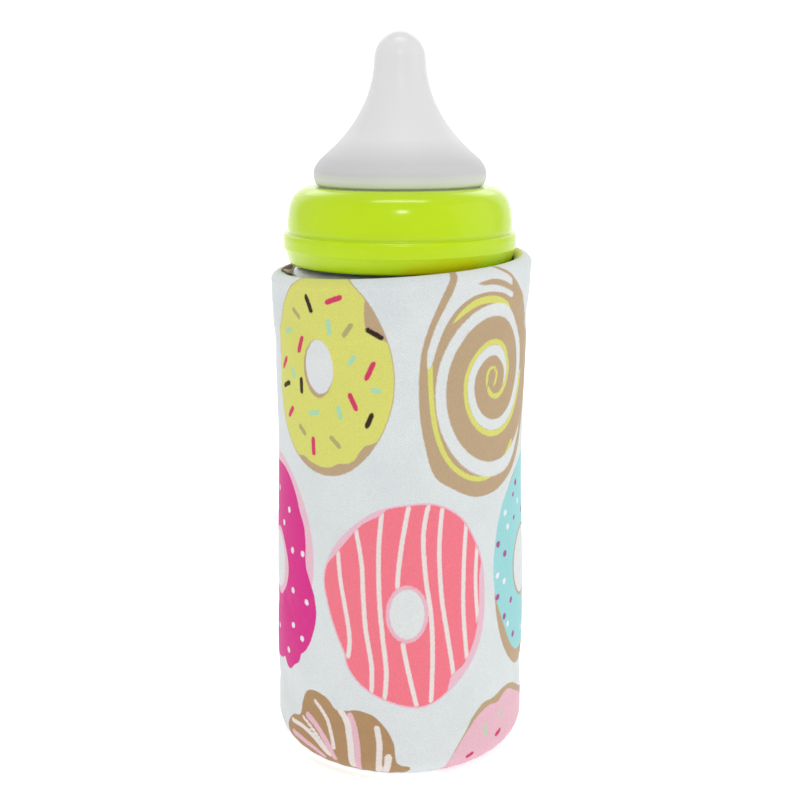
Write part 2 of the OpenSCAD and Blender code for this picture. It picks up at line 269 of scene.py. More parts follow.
def print_fields(u, v):
    """The printed cloth: one distance field per ink, at places u, v in mm on the flat cloth."""
    L = {k: np.full(u.shape, 9.0) for k in LAYERS}

    def add(k, d):
        L[k] = np.minimum(L[k], d)

    # a ring cake with yellow icing
    dough = ell(u, v, -23, 117.6, 21.3, 28.8, ((3, 0.012, 1.0), (5, 0.008, 0.3)))
    add("tan", dough)
    low = np.array([(-60, 93.5), (-34.5, 93), (-31, 93.4), (-28, 92), (-24, 91.2), (-21, 91.6), (-18, 93.1), (-15, 93.4),
                    (-13, 94.6), (-11.5, 97), (-10, 98.8), (-7, 99.8), (-4, 101.5), (2, 104), (8, 110), (8, 170), (-60, 170)])
    ice = np.maximum(dough + 0.25, blob(u, v, low, False))
    ice = np.maximum(ice, -blob(u, v, [(-9.3, 139.6), (-9.6, 135), (-9.1, 131), (-6.4, 129), (-3, 127), (4, 124), (8, 132), (2, 150), (-8, 150)]))
    ice = np.maximum(ice, -blob(u, v, [(-43.8, 129), (-41.4, 132), (-39.8, 135), (-38.2, 138.5), (-42, 141), (-50, 136)]))
    add("yellow", ice)
    hole = ell(u, v, -24, 120, 4.6, 7.8, ((2, 0.03, 0.6),))
    add("tan2", ell(u, v, -24.45, 119.4, 5.1, 8.3))
    add("white", hole)
    add("dark", sprinkles(u, v, [(-28, 139.3, -26.2, 135.4), (-8.7, 130.8, -5.0, 128.6), (-40.6, 112.3, -37.4, 113.7),
                                 (-31, 115.7, -31.2, 112), (-9.2, 104.4, -7.8, 107.6)]))
    add("berry", sprinkles(u, v, [(-20.6, 138.1, -16.5, 139.4), (-31.6, 123.8, -30.4, 127.4), (-9.2, 117.7, -7.3, 121.6),
                                  (-14.2, 112.8, -12.3, 109.2), (-27, 99, -27, 94.8), (-38.2, 103.9, -36.1, 106.4),
                                  (-41.2, 117.8, -38.8, 120.6)], 0.76))
    add("mint", sprinkles(u, v, [(-38.2, 128.6, -35.6, 129.4), (-20.3, 133.1, -19.9, 129.7), (-14.1, 121.5, -12.8, 123.4),
                                 (-7.5, 114.5, -5.6, 114.2), (-17.8, 109.1, -17.1, 106.4), (-28, 106.3, -25, 106.9),
                                 (-34.7, 118.1, -34.5, 115.9)]))
    add("olive", sprinkles(u, v, [(-33.7, 135.2, -31.5, 133.3), (-15.4, 129.3, -13.4, 132), (-32.6, 101.7, -30.4, 99.9),
                                  (-20.3, 100.3, -17.8, 98)]))

    # a rolled bun
    bun = blob(u, v, [(16, 150), (13.5, 143), (9.2, 134), (6, 125), (5.2, 116), (5.4, 108), (6.7, 100), (9.6, 90.5), (15, 86.3),
                      (22, 82.9), (28, 82.4), (34, 83.6), (42, 88), (48, 96), (52, 108), (52.5, 118), (50.6, 126), (47.5, 130.5), (43.6, 134.4),
                      (39.4, 138.0), (35.4, 141.2), (30.4, 143.9), (25, 147), (20, 150.4)])
    add("tan", bun)
    dx, dy = (u - 29.5), (v - 114.5) / 1.2
    rad = np.hypot(dx, dy)
    th = np.arctan2(dy, -dx)  # 0 on the left, grows towards the top on the left side
    rad = rad - 0.0138 * np.maximum(0, rad - 9) ** 2
    turn = (rad - 5.5) / 8.4 + th / (2 * math.pi) * 1.0
    ph = (turn + 0.27) % 1.0

    def band(c, w):
        q = np.abs(ph - c)
        return (np.minimum(q, 1 - q) - w / 2) * 8.4

    inner = np.maximum(bun + 2.6, -(rad - 4.4))
    inner = np.maximum(inner, np.where(th > 1.0, rad - 18.8, -9))
    add("white", np.maximum(band(0.62, 0.28), inner))
    add("yellow", np.maximum(np.maximum(band(0.84, 0.15), (turn - 1.28) * 8.4), np.maximum(bun + 1.4, -(rad - 2.5))))
    add("yellow", curve(u, v, [(8.3, 120.5), (8.9, 109.5), (10.7, 100.6), (14.4, 93.4), (20.3, 88.8), (27, 87.4), (34, 89.8), (40, 95)], 0.72))
    add("yellow", curve(u, v, [(26.8, 113.4), (26.7, 115.6), (27.8, 117.5), (29.5, 117.4), (30.5, 115.4), (30.3, 113.5), (29.7, 112.7)], 0.45))
    add("yellow", blob(u, v, [(14.0, 130.8), (17.0, 134.2), (20.8, 136.4), (25.7, 137.0), (30.8, 135.9), (35.2, 133.2), (38.6, 128.8), (41.4, 124), (42.8, 119), (42.5, 113.6),
                              (41.5, 113.6), (41.7, 118.8), (40.2, 123.4), (37.2, 127.8), (33.4, 131.8), (29.8, 134.2), (25.6, 135.1), (21.5, 134.7), (17.8, 133.0)]))
    pale = blob(u, v, [(7.6, 119.6), (7.6, 124.5), (9.6, 130.4), (12.4, 136.0), (14.8, 140.4), (16.4, 146), (18, 152), (32, 152), (34.6, 142.6), (35.6, 139.8), (36.0, 137.4), (36.6, 135.6),
                       (35.6, 135.2), (31.0, 137.1), (25.6, 138.0), (20.6, 137.5), (16.4, 135.4), (13.0, 131.6), (10.6, 126.4), (8.9, 121)])
    line = blob(u, v, [(22.0, 140.6), (26.6, 141.3), (30.9, 140.4), (35.2, 138.5), (38.6, 136.6), (44, 133.4), (44, 131), (40.0, 134.4), (37.4, 135.9), (34.4, 137.3), (30.5, 138.9), (26.6, 139.8), (22.6, 140.0)])
    add("white", np.maximum(np.maximum(pale, bun + 0.8), -line))

    # a ring cake with magenta icing
    wav = ((5, 0.035, 0.6), (8, 0.02, 1.9), (3, 0.03, 2.4))
    add("pink", ell(u, v, -46.8, 62.0, 19.4, 28.2, ((3, 0.02, 0.4),)))
    out = blob(u, v, [(-33.5, 76), (-36, 81), (-40, 85.5), (-46, 87.5), (-56, 86), (-64, 79), (-69, 66), (-70, 52), (-67, 38), (-60, 29), (-52, 25.5), (-46, 26.8), (-43.6, 28.2), (-42, 26.2), (-39, 26.2), (-36.2, 28.6), (-33.6, 30.6), (-32.6, 33.2), (-30, 35.6), (-27.6, 40), (-26, 46), (-26.4, 52), (-28.6, 57), (-30.4, 61), (-30.6, 67), (-31.4, 72)])
    ring = np.maximum(out, -ell(u, v, -48.6, 57, 8.4, 10.2, ((4, 0.04, 0.4),)))
    add("magenta", ring)
    add("white", ell(u, v, -49.5, 57.3, 6.9, 8.6))
    add("dotw", dots(u, v, [(-40, 75), (-44, 70), (-32, 64), (-30, 50), (-37, 40.7), (-32, 38.3), (-53, 72), (-60, 60), (-58, 45), (-49, 36), (-63, 51)], 0.95))
    add("cream", dots(u, v, [(-37.5, 63.5), (-37, 51.5), (-40, 31.8), (-50, 79), (-57, 69), (-64, 68), (-55, 38)], 1.0))

    # a striped ring cake in coral
    def striped(cx, cy, flip=1.0, s=1.0):
        x, y = (u - cx) / s * flip + 1.5, (v - cy) / s + 53
        body = blob(x, y, [(3, 82.8), (-6, 81), (-14, 75.5), (-20, 68.5), (-23.2, 60), (-21.8, 52), (-19, 44), (-16.4, 38.4), (-15.2, 34),
                           (-11, 29), (-5, 25.6), (3, 23.2), (9, 23.8), (15.5, 28), (21.5, 34.5), (25.2, 43), (26.2, 54), (25.4, 64), (22.2, 72), (17.6, 78.4), (10.5, 82.4)])
        add("pink", body * s)
        top = np.maximum(body + 0.5, -blob(x, y, [(-24, 63.5), (-20.6, 65.2), (-16.5, 70.2), (-11, 76.4), (-4, 81.2), (-8, 88), (-26, 80)]))
        top = np.maximum(top, -blob(x, y, [(27.5, 66), (24.4, 61), (24, 50), (22.6, 42), (19.2, 34.8), (14.6, 31), (15, 24), (28, 28), (31, 50)]))
        add("coral", top * s)
        cut = ell(x, y, 2, 51.2, 6, 8.4)
        ls = [[(-18.4, 69), (-17.4, 60), (-15.4, 50), (-14.4, 43), (-14.9, 37.5)], [(-13.2, 77), (-11, 66), (-10.4, 56), (-9.6, 46), (-8, 36), (-8, 27)],
              [(-5, 81.6), (-6, 70), (-5.8, 56), (-4.8, 44), (-3.8, 34), (-4.4, 25)], [(2.6, 83), (0.6, 72), (-0.6, 62), (-0.6, 55)],
              [(0.2, 47), (1.2, 40), (2.8, 32), (4.6, 24)], [(8.2, 83), (6.6, 74), (7.2, 62), (8.8, 50), (9.2, 38), (8.8, 25)],
              [(12.2, 82), (11.2, 70), (11.8, 56), (13.6, 44), (15.2, 34), (15.8, 28)], [(19.8, 76), (18.8, 64), (18.6, 50), (19.8, 36)],
              [(23.6, 69), (22.8, 58), (23.6, 46)]]
        for l in ls:
            add("cream", np.maximum(curve(x, y, l, 0.66), np.maximum(top, -cut)) * s)
        add("rose", np.maximum(cut, -ell(x, y, 2, 51.2, 4.8, 7.2)) * s)
        add("white", ell(x, y, 2, 51.2, 4.9, 7.3) * s)

    striped(1.5, 53)

    # a ring cake with blue icing
    def blue(cx, cy):
        x, y = u - cx + 50, v - cy + 57
        body = ell(x, y, 50.5, 56, 20.4, 31.4, ((3, 0.02, 0.4),))
        add("tan", body)
        top = np.maximum(ell(x, y, 50.8, 59, 20.4, 29.6, ((4, 0.02, 0.9), (7, 0.012, 2))), -ell(x, y, 50, 57, 9, 11))
        add("aqua", top)
        add("white", ell(x, y, 50, 57, 8.2, 10.2))
        add("dotw", dots(x, y, [(36.5, 75), (38, 70.5), (32, 57.5), (35.5, 54.8), (37.5, 41), (46, 76), (60, 74), (66, 60), (62, 42), (50, 35), (56, 80)], 0.95))
        add("purple", dots(x, y, [(32.5, 66.7), (36, 63), (32, 51), (35.5, 44), (40, 47.5), (41, 36.5), (51, 72), (64, 68), (66, 50), (57, 38), (44, 82)], 1.05))
        add("purple", dots(x, y, [(42, 79), (42.4, 72)], 0.8))

    blue(50, 57)

    # a twisted cake
    def twist(cx, cy, s=1.0):
        x, y = (u - cx) / s - 20, (v - cy) / s + 10
        add("brown", blob(x, y, [(-41, 7.5), (-37.5, 12), (-33.4, 13.9), (-32.6, 18.6), (-30.2, 22.6), (-26.6, 23.8), (-22, 22.8), (-19.4, 20.2),
                                 (-16.4, 20.4), (-12.2, 21.4), (-8, 20.4), (-4.6, 17.4), (-1.8, 12.4), (-0.8, 6), (3, 4.2), (0, 1.2), (-14, 0.2), (-30, 0.5), (-39, 3.5)]) * s)
        st = [([(-27, 20.4), (-23.4, 17.4), (-21, 13.4), (-19.8, 8)], 0.5), ([(-17.6, 20), (-15.6, 17), (-14.4, 11), (-14, 3)], 0.95),
              ([(-6.6, 16.6), (-5.8, 12), (-6, 6), (-6.4, 1.5)], 0.75), ([(-3.2, 8), (-3.6, 5), (-4.2, 2)], 0.9),
              ([(-38, 10), (-31.4, 10.4), (-26, 8.4), (-21.4, 5)], 0.6), ([(-32, 13.6), (-28.6, 12), (-25, 9.4), (-21.6, 5.6)], 0.4)]
        for l, r in st:
            add("cream", curve(x, y, l, r * 0.85 + 0.22) * s)
        for l, r in [([(-30, 15), (-26, 13), (-22, 8.6), (-19.8, 4.4)], 0.95), ([(-14.6, 19.4), (-12.9, 14), (-12.2, 8), (-12.4, 2)], 0.95),
                     ([(-37.4, 6.4), (-33, 6.2), (-28, 5.4), (-24, 3.6)], 0.9)]:
            add("rose", curve(x, y, l, r) * s)

    twist(-20, 10)

    # a half-hidden pink ring cake at the hem
    def half(cx):
        x, y = u - cx + 34.5, v
        add("tan", blob(x, y, [(13.6, 3), (18, 11), (25, 19.6), (30, 20.6), (36.5, 22), (42, 20.4), (48, 16.8), (55, 12.4), (60, 4), (56, -4), (16, -4)]))
        add("rose", blob(x, y, [(13.6, 3), (17, 9), (22, 14.8), (28, 18.6), (32, 18.4), (37, 20.4), (43, 17.6), (49, 13.8), (55, 9.4), (58, 3), (54, -5), (16, -5)]))
        add("mint", sprinkles(x, y, [(26.8, 13, 27, 9.8), (33.4, 15, 34, 12.6)], 0.5))
        add("berry", sprinkles(x, y, [(31.8, 8, 33.4, 8.6), (20.4, 4.8, 22, 5.4)]))

    half(34.5)

    # the back, and the cloth past the edges of the picture
    back = ell(u, v, -80, 117, 19.5, 26, ((3, 0.02, 0.2),))
    add("tan", back)
    add("choc", np.maximum(np.maximum(ell(u, v, -79, 120, 18.6, 23.6, ((6, 0.03, 0.5), (9, 0.015, 1))), -ell(u, v, -80, 118, 5.6, 8)), back + 0.8))
    add("white", ell(u, v, -80, 117.6, 4.8, 7.2))
    add("berry", sprinkles(u, v, [(-90, 128, -87.6, 131), (-71, 108, -69, 111.4), (-75, 133, -74.6, 129), (-86, 104, -83, 103)], 0.76))
    add("mint", sprinkles(u, v, [(-92, 117, -90.6, 113.6), (-68, 120, -67, 124), (-80, 136, -78, 133)]))
    add("cream", sprinkles(u, v, [(-94, 106, -91, 104.6), (-72, 99, -69, 101), (-84, 130, -82, 133.4), (-66, 112, -66, 116)], 0.6))
    striped(-101, 60, -1.0, 0.86)
    r2 = ell(u, v, 77, 121, 18.5, 25, ((3, 0.02, 1.4),))
    add("tan", r2)
    add("yellow", np.maximum(np.maximum(ell(u, v, 77.4, 123, 17.6, 22.8, ((6, 0.03, 0.1), (4, 0.02, 2))), -ell(u, v, 77, 121, 5.2, 7.2)), r2 + 0.8))
    add("white", ell(u, v, 77, 120.6, 4.6, 6.6))
    add("dark", sprinkles(u, v, [(68, 131, 70, 134), (88, 112, 89, 115.6), (72, 104, 75, 105)]))
    add("berry", sprinkles(u, v, [(84, 132, 86, 129), (66, 116, 67, 120), (84, 104, 86.6, 102.4)], 0.76))
    add("mint", sprinkles(u, v, [(77, 138, 80, 137), (88, 122, 90, 125), (65, 108, 67.4, 106)]))
    striped(100, 60, 1.0, 0.84)
    blue(-134.5, 112)
    blue(100.5, 112 + 0.0)
    twist(76, 8, 0.9)
    half(-76)
    twist(-98, 8, 0.85)
    # the strip folded in at the rim lies at v = 200 to 216
    add("choc", ell(u, v, -64, 205, 13, 8.5, ((3, 0.08, 0.4),)))
    add("rose", ell(u, v, -73, 206, 4, 6, ((3, 0.1, 0.2),)))
    add("rose", curve(u, v, [(-76, 204), (-68, 207), (-60, 205)], 1.0))
    add("cream", curve(u, v, [(-75, 200.5), (-67, 203), (-59, 201.6)], 0.75))
    add("cream", curve(u, v, [(-73, 209), (-66, 211), (-60, 209.4)], 0.8))
    add("tan", ell(u, v, 62, 206, 19, 11, ((3, 0.04, 1.2),)))
    add("yellow", ell(u, v, 63, 203, 16, 8.6, ((5, 0.05, 0.2),)))
    add("dark", sprinkles(u, v, [(58, 205, 61, 203.6), (70, 202, 72, 204.6)]))
    add("coral", ell(u, v, 14, 206, 15, 9))
    add("aqua", ell(u, v, -22, 208, 13, 9))
    add("magenta", ell(u, v, 104, 207, 10, 8))
    add("choc", ell(u, v, -106, 206, 10, 9))
    return L


def print_attrs(u, v):
    L = print_fields(np.asarray(u, float).ravel(), np.asarray(v, float).ravel())
    out = {}
    for k in range(6):
        names = LAYERS[3 * k:3 * k + 3]
        out["ink%d" % k] = np.clip(np.stack([L[n] for n in names], -1), -6, 6)
    return out


# ---------------------------------------------------------------- materials
def lin(r, g, b, k=1.0):
    def f(c):
        c /= 255
        return (c / 12.92 if c <= 0.04045 else ((c + 0.055) / 1.055) ** 2.4) * k
    return (min(f(r), 0.98), min(f(g), 0.98), min(f(b), 0.98), 1)


class Mat:
    def __init__(self, name):
        self.m = bpy.data.materials.new(name)
        self.m.use_nodes = True
        self.t = self.m.node_tree
        self.b = self.t.nodes["Principled BSDF"]

    def n(self, kind, **kw):
        x = self.t.nodes.new(kind)
        for k, val in kw.items():
            setattr(x, k, val)
        return x

    def link(self, a, b):
        self.t.links.new(a, b)

    def math(self, op, a, b=None, c=None):
        x = self.n("ShaderNodeMath", operation=op)
        for i, q in enumerate((a, b, c)):
            if q is None:
                continue
            if isinstance(q, (int, float)):
                x.inputs[i].default_value = q
            else:
                self.link(q, x.inputs[i])
        return x.outputs[0]

    def noise(self, coord, scale, detail=2.0, rough=0.5, dim="3D"):
        x = self.n("ShaderNodeTexNoise", noise_dimensions=dim)
        x.inputs["Scale"].default_value = scale
        x.inputs["Detail"].default_value = detail
        x.inputs["Roughness"].default_value = rough
        self.link(coord, x.inputs["Vector"])
        return x.outputs["Fac"]

    def range(self, val, a, b, c, d):
        x = self.n("ShaderNodeMapRange")
        self.link(val, x.inputs["Value"])
        for k, q in zip(("From Min", "From Max", "To Min", "To Max"), (a, b, c, d)):
            x.inputs[k].default_value = q
        return x.outputs["Result"]

    def mix(self, fac, a, b):
        x = self.n("ShaderNodeMix", data_type="RGBA")
        self.link(fac, x.inputs[0])
        for i, q in ((6, a), (7, b)):
            if isinstance(q, (tuple, list)):
                x.inputs[i].default_value = q
            else:
                self.link(q, x.inputs[i])
        return x.outputs[2]

    def mul(self, fac, a, b):
        x = self.n("ShaderNodeMix", data_type="RGBA", blend_type="MULTIPLY")
        self.link(fac, x.inputs[0])
        self.link(a, x.inputs[6])
        x.inputs[7].default_value = b
        return x.outputs[2]

    def bump(self, height, strength, dist, prev=None):
        x = self.n("ShaderNodeBump")
        x.inputs["Strength"].default_value = strength
        x.inputs["Distance"].default_value = dist
        self.link(height, x.inputs["Height"])
        if prev is not None:
            self.link(prev, x.inputs["Normal"])
        return x.outputs["Normal"]

    def set(self, **kw):
        for k, val in kw.items():
            self.b.inputs[k.replace("_", " ")].default_value = val
        return self

    def obj(self):
        return self.n("ShaderNodeTexCoord").outputs["Object"]

    def uv(self):
        return self.n("ShaderNodeTexCoord").outputs["UV"]


def weave(M, pitch, strength, slub=0.35):
    """Plain weave from the cloth's own coordinates in mm, with threads of uneven thickness. Returns the height."""
    uv = M.uv()
    s = M.n("ShaderNodeSeparateXYZ")
    M.link(uv, s.inputs[0])
    k = 100 * math.pi / pitch
    sx = M.math("SINE", M.math("MULTIPLY", s.outputs[0], k))
    sy = M.math("SINE", M.math("MULTIPLY", s.outputs[1], k))
    cross = M.math("MULTIPLY", sx, sy)
    mp = M.n("ShaderNodeMapping")
    mp.inputs["Scale"].default_value = (40, 900, 1)
    M.link(uv, mp.inputs["Vector"])
    n1 = M.noise(mp.outputs[0], 1.0, 1.0)
    mp2 = M.n("ShaderNodeMapping")
    mp2.inputs["Scale"].default_value = (900, 40, 1)
    M.link(uv, mp2.inputs["Vector"])
    n2 = M.noise(mp2.outputs[0], 1.0, 1.0)
    h = M.math("MULTIPLY_ADD", M.math("ADD", n1, n2), slub, M.math("MULTIPLY", cross, 0.5))
    return uv, h, n1, n2


def cotton_print(name):
    M = Mat(name)
    uv, h, n1, n2 = weave(M, 0.5, 0.3)
    wob = M.noise(uv, 90, 2.0)
    wob = M.math("MULTIPLY_ADD", wob, 0.3, -0.15)
    shade = M.range(M.noise(uv, 6, 3.0), 0.3, 0.7, 0.0, 1.0)
    col = M.mix(shade, BASE_A, BASE_B)
    inks = dict(pink=PINK, tan=TAN, brown=BROWN, yellow=YELLOW, magenta=MAGENTA, coral=CORAL, aqua=AQUA, tan2=TAN,
                white=BASE_B, cream=CREAM, dark=DARK, berry=BERRY, mint=MINT, olive=OLIVE, dotw=DOTW, purple=PURPLE,
                rose=ROSE, choc=CHOC)
    seps = []
    for k in range(6):
        at = M.n("ShaderNodeAttribute", attribute_name="ink%d" % k)
        sp = M.n("ShaderNodeSeparateXYZ")
        M.link(at.outputs["Vector"], sp.inputs[0])
        seps.append(sp)
    order = ["tan", "choc", "pink", "brown", "yellow", "magenta", "coral", "aqua", "tan2", "rose", "white", "cream",
             "dark", "berry", "mint", "olive", "dotw", "purple"]
    for nme in order:
        i = LAYERS.index(nme)
        d = M.math("ADD", seps[i // 3].outputs[i % 3], wob)
        m = M.range(d, 0.15, -0.15, 0.0, 0.985)
        col = M.mix(m, col, inks[nme])
    # ink sits a little thinner on the crowns of the threads
    worn = M.range(M.math("ADD", n1, n2), 0.8, 1.4, 0.0, 0.03)
    col = M.mix(worn, col, BASE_B)
    M.link(col, M.b.inputs["Base Color"])
    M.set(Roughness=0.88, Sheen_Weight=0.12, Sheen_Roughness=0.45, Specular_IOR_Level=0.15)
    grain = M.noise(M.obj(), 2600, 3.0, 0.65)
    col = M.mul(M.range(grain, 0.35, 0.68, 0.0, 0.75), col, (0.83, 0.84, 0.84, 1))
    # painted shade: the cloth is darker in the low points between the threads
    col = M.mul(M.range(h, 0.1, 0.75, 0.55, 0.0), col, (0.88, 0.88, 0.885, 1))
    M.link(col, M.b.inputs["Base Color"])
    nrm = M.bump(h, 0.2, 0.00012)
    nrm = M.bump(grain, 0.25, 0.0002, nrm)
    nrm = M.bump(M.noise(M.obj(), 260, 3.0), 0.12, 0.0005, nrm)
    M.link(nrm, M.b.inputs["Normal"])
    return M.m


K = 0.95
BASE_A, BASE_B = lin(219, 225, 226, K), lin(226, 230, 230, K)
PINK, TAN, BROWN, YELLOW = lin(236, 192, 207, K), lin(190, 163, 128, K), lin(177, 140, 97, K), lin(221, 221, 114, K)
MAGENTA, CORAL, AQUA, CREAM = lin(220, 30, 138, K), lin(246, 122, 138, K), lin(156, 218, 220, K), lin(237, 228, 224, K)
DARK, BERRY, MINT, OLIVE = lin(40, 18, 6, K), lin(214, 50, 102, K), lin(172, 220, 178, K), lin(178, 172, 112, K)
DOTW, PURPLE, ROSE, CHOC = lin(240, 236, 242, K), lin(170, 82, 148, K), lin(235, 188, 202, K), lin(122, 78, 54, K)


def plain_cloth(name, c1, c2, pitch=0.6, fluff=0.15, rough=0.9):
    M = Mat(name)
    uv, h, n1, n2 = weave(M, pitch, 0.3)
    col = M.mix(M.range(M.noise(uv, 12, 3.0), 0.3, 0.7, 0, 1), c1, c2)
    col = M.mix(M.range(M.math("ADD", n1, n2), 0.6, 1.5, 0.0, 0.3), col, tuple(0.8 * x for x in c1[:3]) + (1,))
    M.link(col, M.b.inputs["Base Color"])
    M.set(Roughness=rough, Sheen_Weight=0.3, Specular_IOR_Level=0.2)
    nrm = M.bump(h, 0.35, 0.00014)
    nrm = M.bump(M.noise(M.obj(), 900, 4.0, 0.7), fluff, 0.0006, nrm)
    M.link(nrm, M.b.inputs["Normal"])
    return M.m


def fibre(name, c1, c2, scale=700, strength=0.6, rough=0.95):
    """Matted loose fibres, as in wadding or a napped tape."""
    M = Mat(name)
    o = M.obj()
    mp = M.n("ShaderNodeMapping")
    mp.inputs["Scale"].default_value = (1.0, 1.0, 0.35)
    mp.inputs["Rotation"].default_value = (0.4, 0.3, 0.7)
    M.link(o, mp.inputs["Vector"])
    n = M.noise(mp.outputs[0], scale, 6.0, 0.75)
    n2 = M.noise(o, scale * 0.25, 4.0, 0.6)
    col = M.mix(M.range(n, 0.35, 0.65, 0, 1), c1, c2)
    M.link(col, M.b.inputs["Base Color"])
    M.set(Roughness=rough, Sheen_Weight=0.5, Specular_IOR_Level=0.15)
    nrm = M.bump(n2, strength * 0.6, 0.0012)
    nrm = M.bump(n, strength, 0.0005, nrm)
    M.link(nrm, M.b.inputs["Normal"])
    return M.m


def hard(name, c1, c2, rough=(0.3, 0.4), scale=60, metal=0.0, bump=0.02, grain=1600, **kw):
    """A moulded or metal surface with uneven gloss, fine handling marks and a trace of grain."""
    M = Mat(name)
    o = M.obj()
    big = M.noise(o, scale, 4.0, 0.55)
    mp = M.n("ShaderNodeMapping")
    mp.inputs["Scale"].default_value = (1, 1, 6)
    M.link(o, mp.inputs["Vector"])
    fine = M.noise(mp.outputs[0], grain, 3.0, 0.6)
    col = M.mix(M.range(big, 0.3, 0.7, 0, 1), c1, c2)
    M.link(col, M.b.inputs["Base Color"])
    r = M.math("MULTIPLY_ADD", M.range(fine, 0.35, 0.75, 0, 1), (rough[1] - rough[0]) * 0.5,
               M.range(big, 0.3, 0.7, rough[0], (rough[0] + rough[1]) / 2))
    M.link(r, M.b.inputs["Roughness"])
    M.set(Metallic=metal)
    for k, q in kw.items():
        M.b.inputs[k.replace("_", " ")].default_value = q
    nrm = M.bump(fine, bump, 0.0002)
    nrm = M.bump(big, bump * 1.5, 0.0015, nrm)
    M.link(nrm, M.b.inputs["Normal"])
    return M.m


def thread_mat(name, c):
    M = Mat(name)
    w = M.n("ShaderNodeTexWave", wave_type="BANDS", bands_direction="DIAGONAL")
    w.inputs["Scale"].default_value = 900
    w.inputs["Distortion"].default_value = 1.5
    M.link(M.obj(), w.inputs["Vector"])
    col = M.mix(w.outputs["Fac"], tuple(x * 0.82 for x in c[:3]) + (1,), c)
    M.link(col, M.b.inputs["Base Color"])
    M.set(Roughness=0.7, Sheen_Weight=0.3)
    M.link(M.bump(w.outputs["Fac"], 0.5, 0.0001), M.b.inputs["Normal"])
    return M.m


def silicone(name):
    """Pale silicone, with a darker band of painted shade just above the lip and a lighter band at the lip."""
    M = Mat(name)
    o = M.obj()
    s = M.n("ShaderNodeSeparateXYZ")
    M.link(o, s.inputs[0])
    z = M.math("MULTIPLY_ADD", M.noise(o, 40, 2.0), 0.0016, s.outputs[2])
    cloud = M.noise(o, 38, 1.0, 0.4)
    col = M.mix(M.range(cloud, 0.3, 0.7, 0, 1), (0.665, 0.665, 0.67, 1), (0.70, 0.70, 0.70, 1))
    # painted shade: a darker band at heights 168.5 to 179.5 mm, just above the lip
    shade = M.math("MULTIPLY", M.range(z, 0.1685, 0.1705, 0, 1), M.range(z, 0.1795, 0.1735, 0, 1))
    col = M.mix(M.math("MULTIPLY", shade, 0.75), col, (0.51, 0.51, 0.515, 1))
    lip = M.range(z, 0.1682, 0.1668, 0, 1)
    col = M.mix(lip, col, (0.82, 0.82, 0.83, 1))
    M.link(col, M.b.inputs["Base Color"])
    matt = M.math("POWER", M.range(z, 0.209, 0.176, 0, 1), 1.5)
    M.link(M.math("ADD", M.range(cloud, 0.3, 0.7, 0.29, 0.31), M.math("MULTIPLY", matt, 0.14)), M.b.inputs["Roughness"])
    M.link(M.range(matt, 0, 1, 0.5, 0.16), M.b.inputs["Specular IOR Level"])
    M.set(IOR=1.4, Coat_Weight=0.0)
    nrm = M.bump(cloud, 0.01, 0.0006)
    M.link(nrm, M.b.inputs["Normal"])
    return M.m


COTTON = cotton_print("printed_cotton_mat")
WHITE_COTTON = plain_cloth("base_cotton_mat", lin(216, 220, 222, K), lin(226, 229, 230, K))
LINING = plain_cloth("lining_mat", lin(212, 212, 208), lin(226, 226, 222), 0.8, 0.3)
WADDING = fibre("wadding_mat", lin(208, 206, 200), lin(232, 231, 226))
LOOPS = fibre("loop_mat", lin(205, 207, 207), lin(233, 234, 234), 1500, 0.8)
HOOKS = hard("hook_mat", lin(214, 216, 216), lin(226, 227, 227), (0.4, 0.55), bump=0.1)
THREAD = thread_mat("thread_mat", lin(228, 230, 231))
COLLAR = hard("collar_mat", (0.46, 0.66, 0.0, 1), (0.49, 0.69, 0.0, 1), (0.16, 0.24), 45, 0, 0.012, 2200,
              Coat_Weight=0.12, Coat_Roughness=0.1, Specular_IOR_Level=0.32)
TEAT = silicone("teat_mat")
BOTTLE = hard("bottle_mat", (0.80, 0.80, 0.76, 1), (0.84, 0.84, 0.81, 1), (0.12, 0.22), 40, 0, 0.012, 1800,
              Transmission_Weight=0.55, IOR=1.5, Subsurface_Weight=0.1, Subsurface_Scale=0.004)
TICKS = hard("tick_mat", lin(120, 128, 132), lin(140, 148, 150), (0.4, 0.6))

